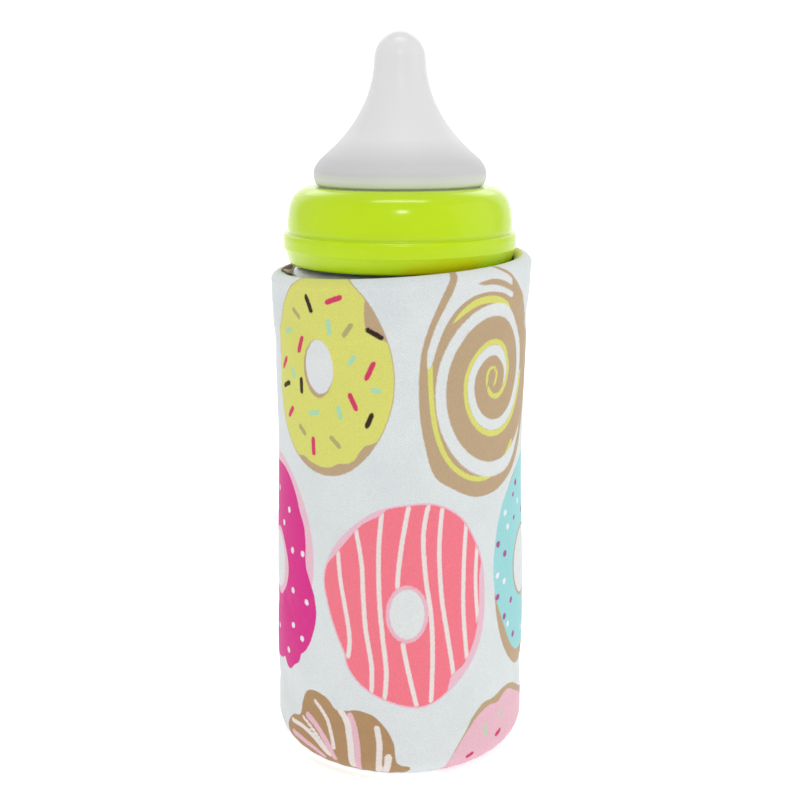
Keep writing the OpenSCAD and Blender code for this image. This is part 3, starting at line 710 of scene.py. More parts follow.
NODE_MATS = {
    "foil_reflector": hard("foil_mat", (0.78, 0.78, 0.8, 1), (0.9, 0.9, 0.92, 1), (0.18, 0.42), 420, 1.0, 0.5, 900),
    "heater_film": hard("film_mat", lin(196, 134, 66), lin(208, 150, 80), (0.25, 0.4), 90, 0, 0.1),
    "heater_track": hard("track_mat", (0.025, 0.025, 0.028, 1), (0.045, 0.045, 0.05, 1), (0.5, 0.75), 300, 0, 0.2),
    "heater_terminals": hard("terminal_mat", lin(206, 168, 96), lin(222, 190, 120), (0.25, 0.45), 300, 1.0, 0.1),
    "thermostat": hard("stat_mat", (0.02, 0.02, 0.02, 1), (0.03, 0.03, 0.03, 1), (0.35, 0.5), 200, 0, 0.1),
    "thermostat_sleeve": hard("shrink_mat", (0.04, 0.05, 0.05, 1), (0.06, 0.065, 0.065, 1), (0.4, 0.6), 240, 0, 0.25),
    "thermal_fuse": hard("fuse_mat", (0.68, 0.68, 0.68, 1), (0.76, 0.76, 0.76, 1), (0.25, 0.4), 300, 1.0, 0.1),
    "lead_supply": hard("red_a_mat", (0.42, 0.02, 0.02, 1), (0.5, 0.03, 0.03, 1), (0.35, 0.5), 200, 0, 0.1),
    "lead_link": hard("red_b_mat", (0.42, 0.02, 0.02, 1), (0.5, 0.03, 0.03, 1), (0.35, 0.5), 200, 0, 0.1),
    "lead_return": hard("black_a_mat", (0.02, 0.02, 0.02, 1), (0.035, 0.035, 0.035, 1), (0.35, 0.5), 200, 0, 0.1),
    "lead_return_upper": hard("black_b_mat", (0.02, 0.02, 0.02, 1), (0.035, 0.035, 0.035, 1), (0.35, 0.5), 200, 0, 0.1),
    "cord_eyelet": hard("eyelet_mat", (0.72, 0.72, 0.73, 1), (0.8, 0.8, 0.81, 1), (0.15, 0.3), 160, 1.0, 0.05),
    "eyelet_washer": hard("washer_mat", (0.7, 0.7, 0.71, 1), (0.78, 0.78, 0.79, 1), (0.2, 0.35), 160, 1.0, 0.05),
}
for nme, mat in NODE_MATS.items():
    o = NODES[nme]
    if o.material_slots:
        for s in o.material_slots:
            s.material = mat
    else:
        o.data.materials.append(mat)


def finish_piece(o, mat, body, slot, *nodes):
    o.data.materials.append(mat)
    if body:
        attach(o, body)
    if nodes:
        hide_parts(*nodes)
    return o


# ---------------------------------------------------------------- the cloth's fullness, from a cloth simulation
SIM_A = np.linspace(-178.2, 178.2, 121)
SIM_Z = np.linspace(0, 1, 45)


def cloth_field():
    """A coarse cover, pinned at the hem, rim and slit, is blown out a little by its wadding and settles.
    Returns how far it moved outwards, capped, on the grid SIM_A by SIM_Z."""
    z = 4 + SIM_Z * (RIM_Z - 4)
    A, Z = np.meshgrid(SIM_A, z, indexing="ij")
    R = side_r(Z)
    low = Z < CORNER
    R = np.where(low, CORNER_C + np.sqrt(np.maximum(0, CORNER ** 2 - (CORNER - Z) ** 2)), R)
    P = place(A, R, Z)
    na, nz = A.shape
    i, j = np.meshgrid(np.arange(na - 1), np.arange(nz - 1), indexing="ij")
    q = (i * nz + j).ravel()
    faces = np.stack([q, q + nz, q + nz + 1, q + 1], 1).tolist()
    o = make("sim_cloth", P.reshape(-1, 3), faces)
    # the cloth was cut a little full
    o.data.update()
    pins = o.vertex_groups.new(name="pin")
    idx = np.arange(na * nz).reshape(na, nz)
    edge = np.concatenate([idx[:, 0], idx[:, -1], idx[:, -2], idx[0], idx[-1], idx[1], idx[-2]])
    pins.add([int(k) for k in np.unique(edge)], 1.0, "REPLACE")
    mod = o.modifiers.new("cloth", "CLOTH")
    s = mod.settings
    s.quality = 6
    s.mass = 0.12
    s.tension_stiffness = 25
    s.compression_stiffness = 25
    s.shear_stiffness = 8
    s.bending_stiffness = 0.6
    s.vertex_group_mass = "pin"
    s.use_pressure = True
    s.uniform_pressure_force = 4.0
    s.shrink_min = -0.012
    s.effector_weights.gravity = 0.0
    mod.point_cache.frame_start = 1
    mod.point_cache.frame_end = 20
    sc = bpy.context.scene
    sc.frame_start, sc.frame_end = 1, 20
    for f in range(1, 21):
        sc.frame_set(f)
    dg = bpy.context.evaluated_depsgraph_get()
    ev = o.evaluated_get(dg)
    co = np.zeros(len(ev.data.vertices) * 3, np.float32)
    ev.data.vertices.foreach_get("co", co)
    co = co.reshape(na, nz, 3) * 1000.0
    rad = np.hypot(co[..., 0], co[..., 1]) - np.hypot(P[..., 0], P[..., 1])
    sc.frame_set(1)
    bpy.data.objects.remove(o, do_unlink=True)
    rad = np.nan_to_num(rad, nan=0.0)
    print("cloth moved", float(rad.min()), float(rad.max()), float(rad.std()))
    rad = rad - np.median(rad)
    lim = max(0.1, float(np.percentile(np.abs(rad), 98)))
    rad = np.clip(rad / lim, -1, 1) * min(lim, 0.45)
    w = smooth((SIM_Z[None, :]) / 0.12) * smooth((1 - SIM_Z[None, :]) / 0.08)
    return rad * w


FIELD = cloth_field()


def fullness(a, z):
    """Displacement in mm of the cover at a, z."""
    a, z = np.broadcast_arrays(np.asarray(a, float), np.asarray(z, float))
    x = np.clip((a - SIM_A[0]) / (SIM_A[1] - SIM_A[0]), 0, len(SIM_A) - 1.001)
    y = np.clip((z - 4) / (RIM_Z - 4) / (SIM_Z[1] - SIM_Z[0]), 0, len(SIM_Z) - 1.001)
    i, j = x.astype(int), y.astype(int)
    fx, fy = smooth(x - i), smooth(y - j)
    g = (FIELD[i, j] * (1 - fx) * (1 - fy) + FIELD[i + 1, j] * fx * (1 - fy)
         + FIELD[i, j + 1] * (1 - fx) * fy + FIELD[i + 1, j + 1] * fx * fy)
    # soft hand of the wadding, and puckers where the cloth is gathered into the hem and rim seams
    soft = 0.10 * np.sin(a * D * 3 + 1.1 + z / 31) * np.sin(z / 23 + 0.7) + 0.06 * np.sin(a * D * 7 + z / 13)
    hem = 0.10 * np.sin(a * D * 46 + 2 * np.sin(a * D * 5)) * np.exp(-np.maximum(0, z - 1) / 5.5)
    rim = 0.05 * np.sin(a * D * 38 + 1.5 * np.sin(a * D * 4)) * np.exp(-np.maximum(0, RIM_Z - z) / 4)
    return g + soft * smooth(z / 12) * smooth((RIM_Z - z) / 6) + hem + rim


def slit_fold(a, w, gone=0.0):
    """0 away from the slit, to 1 at its edge, as a rounded edge of width w mm at radius 37. gone is the half gap in mm."""
    d = (180 - np.abs(a)) * D * 37 - gone
    t = np.clip(1 - d / w, 0, 1)
    return 1 - np.sqrt(np.maximum(0, 1 - t * t))


def shell(name, cols, outer, inner, uvs_out, uvs_in, attrs_out=None, k=4):
    """A closed cloth sheet from two point grids (columns x rows); the inner one has a k-th of the outer rows."""
    nc, no, _ = outer.shape
    ni = inner.shape[1]
    n = no + ni
    V = np.concatenate([outer, inner[:, ::-1]], 1).reshape(-1, 3)
    UV = np.concatenate([uvs_out, uvs_in[:, ::-1]], 1).reshape(-1, 2)
    f = []
    i = np.arange(nc - 1)
    for j in range(n):
        j2 = (j + 1) % n
        f += np.stack([i * n + j, (i + 1) * n + j, (i + 1) * n + j2, i * n + j2], 1).tolist()
    for c, flip in ((0, False), (nc - 1, True)):
        o0 = c * n
        inn = lambda q: o0 + n - 1 - q
        for j in range(ni - 1):
            tris = [[inn(j), o0 + k * j + t, o0 + k * j + t + 1] for t in range(k)] + [[inn(j), o0 + k * j + k, inn(j + 1)]]
            f += [t[::-1] if flip else t for t in tris]
    attrs = None
    if attrs_out is not None:
        attrs = {}
        for key, val in attrs_out.items():
            val = val.reshape(nc, no, 3)
            attrs[key] = np.concatenate([val, np.full((nc, ni, 3), 6.0)], 1).reshape(-1, 3)
    return make(name, V, f, UV, attrs)


# ---------------------------------------------------------------- the printed cover
def eyelet_hole(o):
    """The hole the eyelet is riveted through; its edge lies under the flange."""
    import bmesh
    bm = bmesh.new()
    bm.from_mesh(o.data)
    ax, ay, z0 = math.cos(38 * D), math.sin(38 * D), 0.016

    def off(c):
        along = c.x * ax + c.y * ay
        return math.hypot(math.hypot(c.x - along * ax, c.y - along * ay), c.z - z0) if along > 0 else 1.0

    cut = [f for f in bm.faces if off(f.calc_center_median()) < 0.0034 or min(off(v.co) for v in f.verts) < 0.0024]
    bmesh.ops.delete(bm, geom=cut, context="FACES")
    bm.to_mesh(o.data)
    bm.free()


def cover_piece():
    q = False
    fine = 0.75 if not q else 2.4
    half = 178.45
    edges = np.unique(np.concatenate([
        np.arange(-98, 98.01, fine / 37 / D), np.arange(-170, -98, 1.15 * fine / 37 / D), np.arange(98, 170, 1.15 * fine / 37 / D),
        np.linspace(-180, -170, 16), np.linspace(170, 180, 16)]))
    edges = edges[np.concatenate([[True], np.diff(edges) > 0.15])]
    edges[0], edges[-1] = -180, 180
    cols = edges
    # profile: hem, corner, side, rolled rim, facing
    prof = [[CORNER_C, 0.0]] + arc(CORNER_C, CORNER, CORNER, -90, 0, 12)[1:]
    nside = int(134.4 / (0.85 if not q else 2.4))
    zs = np.linspace(CORNER, RIM_Z, nside)[1:]
    prof += [[float(side_r(z)), float(z)] for z in zs]
    prof += arc(RIM_C + 0.0, RIM_Z, RIM_RR, 8, 180, 15)
    prof += [[TUBE_R, float(z)] for z in np.linspace(RIM_Z, 128, 14)[1:]]
    prof = np.array(prof)
    extra = (-(len(prof) - 1)) % 4
    if extra:
        tail = np.stack([np.full(extra, TUBE_R), 128 - 0.35 * np.arange(1, extra + 1)], 1)
        prof = np.concatenate([prof, tail])
    prof[:, 0] += 0.0
    s = np.concatenate([[0], np.cumsum(np.hypot(*np.diff(prof, axis=0).T))])
    # outward normal of the profile
    tan = np.gradient(prof, axis=0)
    tan /= np.hypot(*tan.T)[:, None]
    nor = np.stack([tan[:, 1], -tan[:, 0]], 1)
    A = cols[:, None] + 0 * s[None, :]
    Zp = np.broadcast_to(prof[None, :, 1], A.shape).copy()
    Rp = np.broadcast_to(prof[None, :, 0], A.shape).copy()
    s_rim = s[np.argmax(prof[:, 1])]
    outside = (s <= s_rim)[None, :]
    full = fullness(A, Zp)
    full = np.where(outside, full, full * 0.25)
    # narrow the columns so the slit opens 2 mm above z = 12
    gap = 1.0 * smooth((Zp - 12) / 5)
    Aa = A * (1 - (gap / 37 / D) / 180)
    fold = slit_fold(Aa, 2.6, gap) * smooth((Zp - 11) / 6)

    def surf(off):
        r = Rp + nor[None, :, 0] * (full + off)
        z = Zp + nor[None, :, 1] * (full * 0.4 + off)
        target = 34.45 + np.where(outside, 0.45, -0.45) + off * np.where(outside, 0.45, -0.45)
        r = r + (target - r) * fold
        return place(Aa, r, z)

    outer = surf(0.0)
    inner = surf(-0.8)[:, ::4]
    uo = np.stack([A * D * 37 / 100, np.broadcast_to(s, A.shape) / 100], -1)
    ui = uo[:, ::4]
    u = A * D * 37
    v = np.where(outside, np.where(s[None, :] < 11, Zp * 0 + s[None, :] - 4.0, Zp), 200 + (s[None, :] - s_rim))
    v = np.where(outside & (s[None, :] >= 11), Zp, v)
    at = print_attrs(u, v)
    o = shell("printed_cover", cols, outer, inner, uo, ui, at)
    eyelet_hole(o)
    return finish_piece(o, COTTON, "sleeve", "printed_cotton", "outer_cover", "rim_facing")


COVER = cover_piece()

# ---------------------------------------------------------------- hem disc, lining and wadding
def disc(name, r, z0, t, mat, slot, node, wave=0.12, rings=26, n=120, rise=0.0):
    rr = np.concatenate([[0.0], np.linspace(1.5, r, rings)])
    V, f = [], []
    for side in (0, 1):
        for k, q in enumerate(rr):
            a = np.arange(n) * 2 * math.pi / n
            e = np.clip((r - q) / 2.2, 0, 1)
            round_off = (1 - math.sqrt(max(0.0, 1 - (1 - float(e)) ** 2))) * t * 0.45
            bumps = wave * np.sin(a * 30 + 2 * np.sin(a * 4)) * math.exp(-(r - q) / 5.0) + wave * 0.5 * np.sin(q / 4.0 + 3 * a)
            bumps = bumps * min(1.0, q / 6.0)
            z = z0 + (t - round_off if side else round_off) + np.abs(bumps) * (0.5 if side else 0.35) + rise
            z = np.maximum(z, z0 + 0.0) if not side else z
            V.append(np.stack([q * np.cos(a), q * np.sin(a), z], -1))
    m = len(rr)
    i = np.arange(n)
    for side in (0, 1):
        for k in range(m - 1):
            b = (side * m + k) * n
            quad = np.stack([b + i, b + (i + 1) % n, b + n + (i + 1) % n, b + n + i], 1)
            f += (quad if not side else quad[:, ::-1]).tolist()
    b0, b1 = (m - 1) * n, (2 * m - 1) * n
    f += np.stack([b0 + i, b0 + (i + 1) % n, b1 + (i + 1) % n, b1 + i], 1).tolist()
    V = np.concatenate(V)
    uv = V[:, :2] / 100
    o = make(name, V, f, uv)
    clean_mesh(o)
    return finish_piece(o, mat, "sleeve", slot, *node)


def clean_mesh(o, dist=1e-6):
    import bmesh
    bm = bmesh.new()
    bm.from_mesh(o.data)
    bmesh.ops.remove_doubles(bm, verts=bm.verts, dist=dist)
    bmesh.ops.dissolve_degenerate(bm, edges=bm.edges, dist=dist)
    bmesh.ops.recalc_face_normals(bm, faces=bm.faces)
    bm.to_mesh(o.data)
    bm.free()


def wall(name, r_out, r_in, z0, z1, mat, slot, nodes, da=2.4, dz=2.2, gap0=1.0, mid=34.45, fold_w=2.6, rough=0.0, seed=3,
         half=0.2, bevel=0.4):
    """A closed sheet round the bottle with the slit at the back. r_out and r_in are functions of z."""
    cols = np.unique(np.concatenate([np.arange(-168, 168.1, da), np.linspace(-180, -168, 9), np.linspace(168, 180, 9)]))
    cols[0], cols[-1] = -180, 180
    zs = np.linspace(z0, z1, max(5, int((z1 - z0) / dz)))
    rng = np.random.default_rng(seed)
    A, Z = np.meshgrid(cols, zs, indexing="ij")
    gap = gap0 * smooth((Z - 12) / 5)
    Aa = A * (1 - (gap / 37 / D) / 180)
    fold = slit_fold(Aa, fold_w, gap) * smooth((Z - 11) / 6)
    lump = np.zeros(A.shape)
    for _ in range(9):
        kx, kz, ph = rng.integers(3, 24), rng.uniform(0.05, 0.35), rng.uniform(0, 6.28)
        lump += np.sin(A * D * kx + ph) * np.sin(Z * kz + ph * 2)
    lump *= rough / 9
    e = np.minimum(Z - z0, z1 - Z)
    b = bevel * (1 - np.sqrt(np.maximum(0, 1 - np.clip(1 - e / max(bevel, 1e-3), 0, 1) ** 2)))
    ro = r_out(Z) - b + np.minimum(0, lump)
    ri = r_in(Z) + b + np.maximum(0, lump * 0.6)
    ro = ro + (mid + half - ro) * fold
    ri = ri + (mid - half - ri) * fold
    o = shell(name, cols, place(Aa, ro, Z), place(Aa, ri, Z), np.stack([A * D * .37, Z / 100], -1), np.stack([A * D * .37, Z / 100], -1), k=1)
    return finish_piece(o, mat, "sleeve", slot, *nodes)


BASE = disc("base_cloth", 30.35, 0.0, 0.8, WHITE_COTTON, "printed_cotton", ["outer_base"])
LINE_D = disc("lining_disc", 31.8, 3.7, 0.8, LINING, "lining_cotton", ["lining_base"])
LINE_W = wall("lining_tube", lambda z: 32.7 + 0 * z, lambda z: 31.9 + 0 * z, 3.7, 127.7, LINING, "lining_cotton", ["lining_wall"],
              mid=34.0, half=0.25, rough=0.12, seed=5, bevel=0.3)


def pad_out(z):
    z = np.asarray(z, float)
    return np.where(z < CORNER, CORNER_C + np.sqrt(np.maximum(0.0, (CORNER - 0.95) ** 2 - (CORNER - z) ** 2)), side_r(z) - 0.95)


PAD = wall("wadding_pad", pad_out, lambda z: np.where((z > 14) & (z < 122), 34.95, 33.5) + 0 * z, 3.2, 141.2, WADDING, "wadding",
           ["wadding_wall"], gap0=2.4, mid=34.45, half=0.12, rough=0.35, seed=8, bevel=0.8)
PAD_D = disc("wadding_disc", 32.6, 0.9, 2.7, WADDING, "wadding", ["wadding_base"], wave=0.0)

# ---------------------------------------------------------------- closure flap
A0, A1 = 146.5, 188.2          # free end and sewn root, degrees from the front
FZ0, FZ1 = 20.0, 136.0


def flap_off(a):
    """How far the flap's inner face stands off the cover's surface."""
    t = smooth((186.2 - a) / 6.5)
    return 0.12 + 1.83 * t


def flap_piece():
    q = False
    cols = np.concatenate([np.linspace(A0, A0 + 3, 8), np.linspace(A0 + 3, 176, 34)[1:], np.linspace(176, A1, 22)[1:]])
    rows = np.concatenate([np.linspace(FZ0, FZ0 + 3, 8), np.linspace(FZ0 + 3, FZ1 - 3, 120 if not q else 40)[1:], np.linspace(FZ1 - 3, FZ1, 8)[1:]])
    A, Z = np.meshgrid(cols, rows, indexing="ij")
    # rounded free corners: rows near the ends are drawn in
    x = (A - A0) * D * 39
    cr = 7.0
    inset = np.where(x < cr, cr - np.sqrt(np.maximum(0, cr ** 2 - (cr - x) ** 2)), 0)
    mid = (FZ0 + FZ1) / 2
    Zs = mid + (Z - mid) * (1 - inset / (mid - FZ0))
    e = np.minimum(np.minimum((A - A0) * D * 39, (A1 - A) * D * 39), np.minimum(Z - FZ0, FZ1 - Z))
    ed = np.clip(1 - e / 1.1, 0, 1)
    th = 1.2 * np.sqrt(np.maximum(0.02, 1 - ed ** 2 * 0.98))
    # the stitched box sinks in a little, with fullness between
    box = np.minimum(np.minimum((A - 150.5) * D * 39, (171.5 - A) * D * 39), np.minimum(Zs - 25.5, 130.5 - Zs))
    sink = -0.22 * np.exp(-(box / 0.9) ** 2)
    puck = 0.07 * np.sin(Zs * 2.1 + 1.2 * np.sin(Zs * 0.31)) * np.exp(-np.abs(box) / 2.2)
    puck = puck + 0.05 * np.sin(A * 2.6) * np.exp(-np.abs(box) / 2.2)
    drift = 0.10 * np.sin(Zs / 17 + A / 9) + 0.06 * np.sin(Zs / 7.5 + 1)
    base = side_r(Zs) + flap_off(A)
    keep = smooth((A1 - A) / 6)
    rin = base + 0.6 - th / 2 + (drift * 0.3 + np.maximum(0, sink * 0.2)) * keep
    rout = base + 0.6 + th / 2 + (sink + puck + drift * 0.5) * keep
    u = A * D * 37 - 40
    at = print_attrs(u, Zs)
    uv = np.stack([A * D * 37 / 100, Zs / 100], -1)
    V1, V2 = place(A, rout, Zs), place(A, rin, Zs)
    nc, nr = A.shape
    V = np.concatenate([V1.reshape(-1, 3), V2.reshape(-1, 3)])
    i, j = np.meshgrid(np.arange(nc - 1), np.arange(nr - 1), indexing="ij")
    k = (i * nr + j).ravel()
    f = np.stack([k, k + nr, k + nr + 1, k + 1], 1).tolist()
    h = nc * nr
    f += np.stack([k + h, k + 1 + h, k + nr + 1 + h, k + nr + h], 1).tolist()
    loop = [c * nr for c in range(nc)] + [(nc - 1) * nr + r for r in range(1, nr)] + [c * nr + nr - 1 for c in range(nc - 2, -1, -1)] + [r for r in range(nr - 2, 0, -1)]
    for p, q2 in zip(loop, loop[1:] + loop[:1]):
        f.append([p, p + h, q2 + h, q2])
    at = {kk: np.concatenate([vv, vv * 0 + 6.0]) for kk, vv in at.items()}
    o = make("flap_cloth", V, f, np.concatenate([uv.reshape(-1, 2)] * 2), at)
    import bmesh
    bm = bmesh.new()
    bm.from_mesh(o.data)
    bmesh.ops.recalc_face_normals(bm, faces=bm.faces)
    bm.to_mesh(o.data)
    bm.free()
    finish_piece(o, COTTON, None, "printed_cotton", "closure_flap")

    def at3(a, r, z):
        p = place(a, r, z)
        return [float(c) / 1000 for c in p]
    at3(186.0, 38.0, 78)
    at3(177.5, 38.9, 78)
    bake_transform(o)
    return o


FLAP = flap_piece()


# ---------------------------------------------------------------- hook and loop strips
def strip(name, a0, a1, z0, z1, o0, o1, mat, body, slot, node, ripple=0.05):
    cols = np.linspace(a0, a1, 30)
    rows = np.linspace(z0, z1, 110)
    A, Z = np.meshgrid(cols, rows, indexing="ij")
    e = np.minimum(np.minimum((A - a0), (a1 - A)) * D * 38, np.minimum(Z - z0, z1 - Z))
    th = (o1 - o0) * np.sqrt(np.maximum(0.04, 1 - np.clip(1 - e / 0.4, 0, 1) ** 2))
    mid = (o0 + o1) / 2 + ripple * np.sin(Z * 1.9) * np.exp(-np.maximum(0, e) / 1.5)
    ro, ri = side_r(Z) + mid + th / 2, side_r(Z) + mid - th / 2
    nc, nr = A.shape
    V = np.concatenate([place(A, ro, Z).reshape(-1, 3), place(A, ri, Z).reshape(-1, 3)])
    i, j = np.meshgrid(np.arange(nc - 1), np.arange(nr - 1), indexing="ij")
    k = (i * nr + j).ravel()
    h = nc * nr
    f = np.stack([k, k + nr, k + nr + 1, k + 1], 1).tolist()
    f += np.stack([k + h, k + 1 + h, k + nr + 1 + h, k + nr + h], 1).tolist()
    loop = [c * nr for c in range(nc)] + [(nc - 1) * nr + r for r in range(1, nr)] + [c * nr + nr - 1 for c in range(nc - 2, -1, -1)] + [r for r in range(nr - 2, 0, -1)]
    for p, q2 in zip(loop, loop[1:] + loop[:1]):
        f.append([p, p + h, q2 + h, q2])
    return V, f


def tube_hooks(a0, a1, z0, z1, off, step_a, step_z):
    """Rows of small bent hooks standing on the tape's inner face, pointing at the axis."""
    V, f = [], []
    rng = np.random.default_rng(11)
    for ai, a in enumerate(np.arange(a0, a1, step_a)):
        for z in np.arange(z0, z1, step_z):
            r0 = float(side_r(z)) + off
            sgn = 1 if ai % 2 else -1
            j = rng.uniform(-0.08, 0.08, 3)
            pts = [(a + j[0], r0, z), (a + j[0], r0 - 0.16, z + j[1] * 0.3), (a + j[0], r0 - 0.26, z + 0.10 * sgn),
                   (a + j[0], r0 - 0.22, z + 0.24 * sgn), (a + j[0], r0 - 0.12, z + 0.28 * sgn)]
            b = len(V)
            for k, (pa, pr, pz) in enumerate(pts):
                w = 0.09 if k < 4 else 0.05
                for da, dz in ((-w, -w), (w, -w), (0, w)):
                    V.append(place(pa + da / 38 / D, pr, pz + dz if k < 2 else pz).tolist() if k < 2
                             else place(pa + da / 38 / D, pr + (dz if k >= 2 else 0), pz).tolist())
            for k in range(len(pts) - 1):
                for q in range(3):
                    p0, p1 = b + 3 * k + q, b + 3 * k + (q + 1) % 3
                    f.append([p0, p1, p1 + 3, p0 + 3])
            f.append([b + 2, b + 1, b])
            e = b + 3 * (len(pts) - 1)
            f.append([e, e + 1, e + 2])
    return V, f


v, f = strip("hook", 149.5, 172.5, 24, 132, 1.42, 1.92, None, None, None, None)
hv, hf = tube_hooks(150.4, 171.8, 25, 131.2, 1.44, 1.55, 1.45)
V, F = join_geo([(v, f), (hv, hf)])
HOOK = make("hook_tape", V, F, None, None)
finish_piece(HOOK, HOOKS, "flap", "hook_tape", "hook_strip")
v, f = strip("loop", 151, 174, 24, 132, 0.04, 0.62, None, None, None, None)
LV, LF = [], []
rng = np.random.default_rng(5)
for _ in range(1500):
    a, z = rng.uniform(151.4, 173.6), rng.uniform(24.6, 131.4)
    r0 = float(side_r(z)) + 0.58
    th = rng.uniform(0, math.pi)
    L = rng.uniform(0.25, 0.45)
    b = len(LV)
    for k in range(6):
        t = k / 5
        da, dz = (t - 0.5) * 2 * L * math.cos(th), (t - 0.5) * 2 * L * math.sin(th)
        rr = r0 + 0.22 * math.sin(math.pi * t)
        for w in (-0.035, 0.035):
            LV.append(place(a + (da - w * math.sin(th)) / 38 / D, rr, z + dz + w * math.cos(th)).tolist())
        LV.append(place(a + da / 38 / D, rr - 0.05, z + dz).tolist())
    for k in range(5):
        for q in range(3):
            p0, p1 = b + 3 * k + q, b + 3 * k + (q + 1) % 3
            LF.append([p0, p1, p1 + 3, p0 + 3])
    LF.append([b + 2, b + 1, b])
    LF.append([b + 15, b + 16, b + 17])
V, F = join_geo([(v, f), (LV, LF)])
LOOP = make("loop_tape", V, F, None, None)
finish_piece(LOOP, LOOPS, "sleeve", "loop_tape", "loop_strip")


# ---------------------------------------------------------------- stitches
def stitch_line(pts, step=3.0, length=2.3, r=0.2, sink=0.05):
    """Short rounded stitches along points given as (a, z, offset) on the sleeve's side."""
    P = np.array([place(a, float(side_r(z)) + o, z) for a, z, o in pts])
    N = np.array([[math.sin(a * D), -math.cos(a * D), 0] for a, z, o in pts])
    s = np.concatenate([[0], np.cumsum(np.linalg.norm(np.diff(P, axis=0), axis=1))])
    V, f = [], []
    n = max(1, int(s[-1] / step))
    for k in range(n):
        c = (k + 0.5) * s[-1] / n
        t0, t1 = c - length / 2, c + length / 2
        b = len(V)
        for m in range(7):
            q = t0 + (t1 - t0) * m / 6
            p = np.array([np.interp(q, s, P[:, x]) for x in range(3)])
            nn = np.array([np.interp(q, s, N[:, x]) for x in range(3)])
            d = np.array([np.interp(q + 0.05, s, P[:, x]) - np.interp(q - 0.05, s, P[:, x]) for x in range(3)])
            d /= np.linalg.norm(d) + 1e-9
            side = np.cross(d, nn)
            prof = math.sin(math.pi * (0.06 + 0.88 * m / 6))
            w = r * (0.45 + 0.55 * prof)
            lift = -sink - 0.22 * (1 - prof)
            for j in range(6):
                ang = j * math.pi / 3
                V.append((p + nn * (lift + w * 0.8 * math.sin(ang)) + side * w * math.cos(ang)).tolist())
        for m in range(6):
            for j in range(6):
                a_, b_ = b + 6 * m + j, b + 6 * m + (j + 1) % 6
                f.append([a_, b_, b_ + 6, a_ + 6])
        f.append([b + j for j in range(5, -1, -1)])
        f.append([b + 36 + j for j in range(6)])
    return V, f


def box_line(a0, a1, z0, z1, off):
    pts = [(a, z0, off) for a in np.linspace(a0, a1, 12)] + [(a1, z, off) for z in np.linspace(z0, z1, 40)[1:]]
    pts += [(a, z1, off) for a in np.linspace(a1, a0, 12)[1:]] + [(a0, z, off) for z in np.linspace(z1, z0, 40)[1:]]
    return pts


V, F = stitch_line(box_line(150.5, 171.5, 25.5, 130.5, 3.12))
ST1 = finish_piece(make("hook_stitches", V, F), THREAD, "flap", "thread", "hook_stitching")
V, F = stitch_line(box_line(151.8, 173.2, 25.0, 131.0, 0.62))
ST2 = finish_piece(make("loop_stitches", V, F), THREAD, "sleeve", "thread", "loop_stitching")
g = [(186.0, z, 1.36) for z in np.linspace(21, 135, 60)]
g2 = [(187.4, z, 1.22) for z in np.linspace(21, 135, 60)]
V, F = join_geo([stitch_line(g), stitch_line(g2), stitch_line([(186.0, z, 0.12) for z in np.linspace(15, 19, 6)]),
                 stitch_line([(186.0, z, 0.12) for z in np.linspace(136.6, 139.2, 6)])])
ST3 = finish_piece(make("flap_seam_stitches", V, F), THREAD, "sleeve", "thread", "flap_seam")
# one line of stitches beside an edge of the slit
V1 = stitch_line([(175.6, z, 0.06) for z in np.linspace(18, 139, 60)])
V, F = join_geo([V1])
ST4 = finish_piece(make("slit_stitches", V, F), THREAD, "sleeve", "thread")

# ---------------------------------------------------------------- bottle, collar and teat
def bottle_piece():
    n1 = 161.2
    out = [[0, 7.0], [20, 6.5], [22.2, 5.9], [23.2, 5.0], [24, 4.8]] + arc(25.5, 10.8, 6, -90, 0, 16) + [[31.5, 30], [31.5, 60], [31.5, 90], [31.5, 118], [31.5, 135]]
    out += bez([31.5, 135], [31.5, 140], [31, 143.2], [28.2, 143.2], 18) + bez([28.2, 143.2], [27.5, 143.2], [27.2, 143.3], [27.2, 143.9], 4)
    out += [[27.2, 152], [27.2, n1 - 0.5]] + bez([27.2, n1 - 0.5], [27.2, n1 - 0.1], [27.0, n1], [26.7, n1], 4)
    inn = [[25.7, n1]] + bez([25.7, n1], [25.3, n1], [25.2, n1 - 0.2], [25.2, n1 - 0.5], 4) + [[25.2, 150], [25.2, 144]]
    inn += bez([25.2, 144], [25.2, 141.6], [29.7, 142], [29.7, 134], 16) + [[29.7, 100], [29.7, 60], [29.7, 20]]
    inn += arc(25.5, 11.0, 4.2, 0, -90, 12) + [[20, 8.4], [0, 8.8]]
    parts = [lathe(clean(out + inn), 224), ridge(27.2, 28.3, 2, 1, 149.5, 1.2)]
    V, F = join_geo(parts)
    o = sharp(make("feeding_bottle", V, F), 50)
    clean_mesh(o, 1e-7)
    sharp(o, 50)
    return finish_piece(o, BOTTLE, "bottle", "bottle_plastic", "bottle")


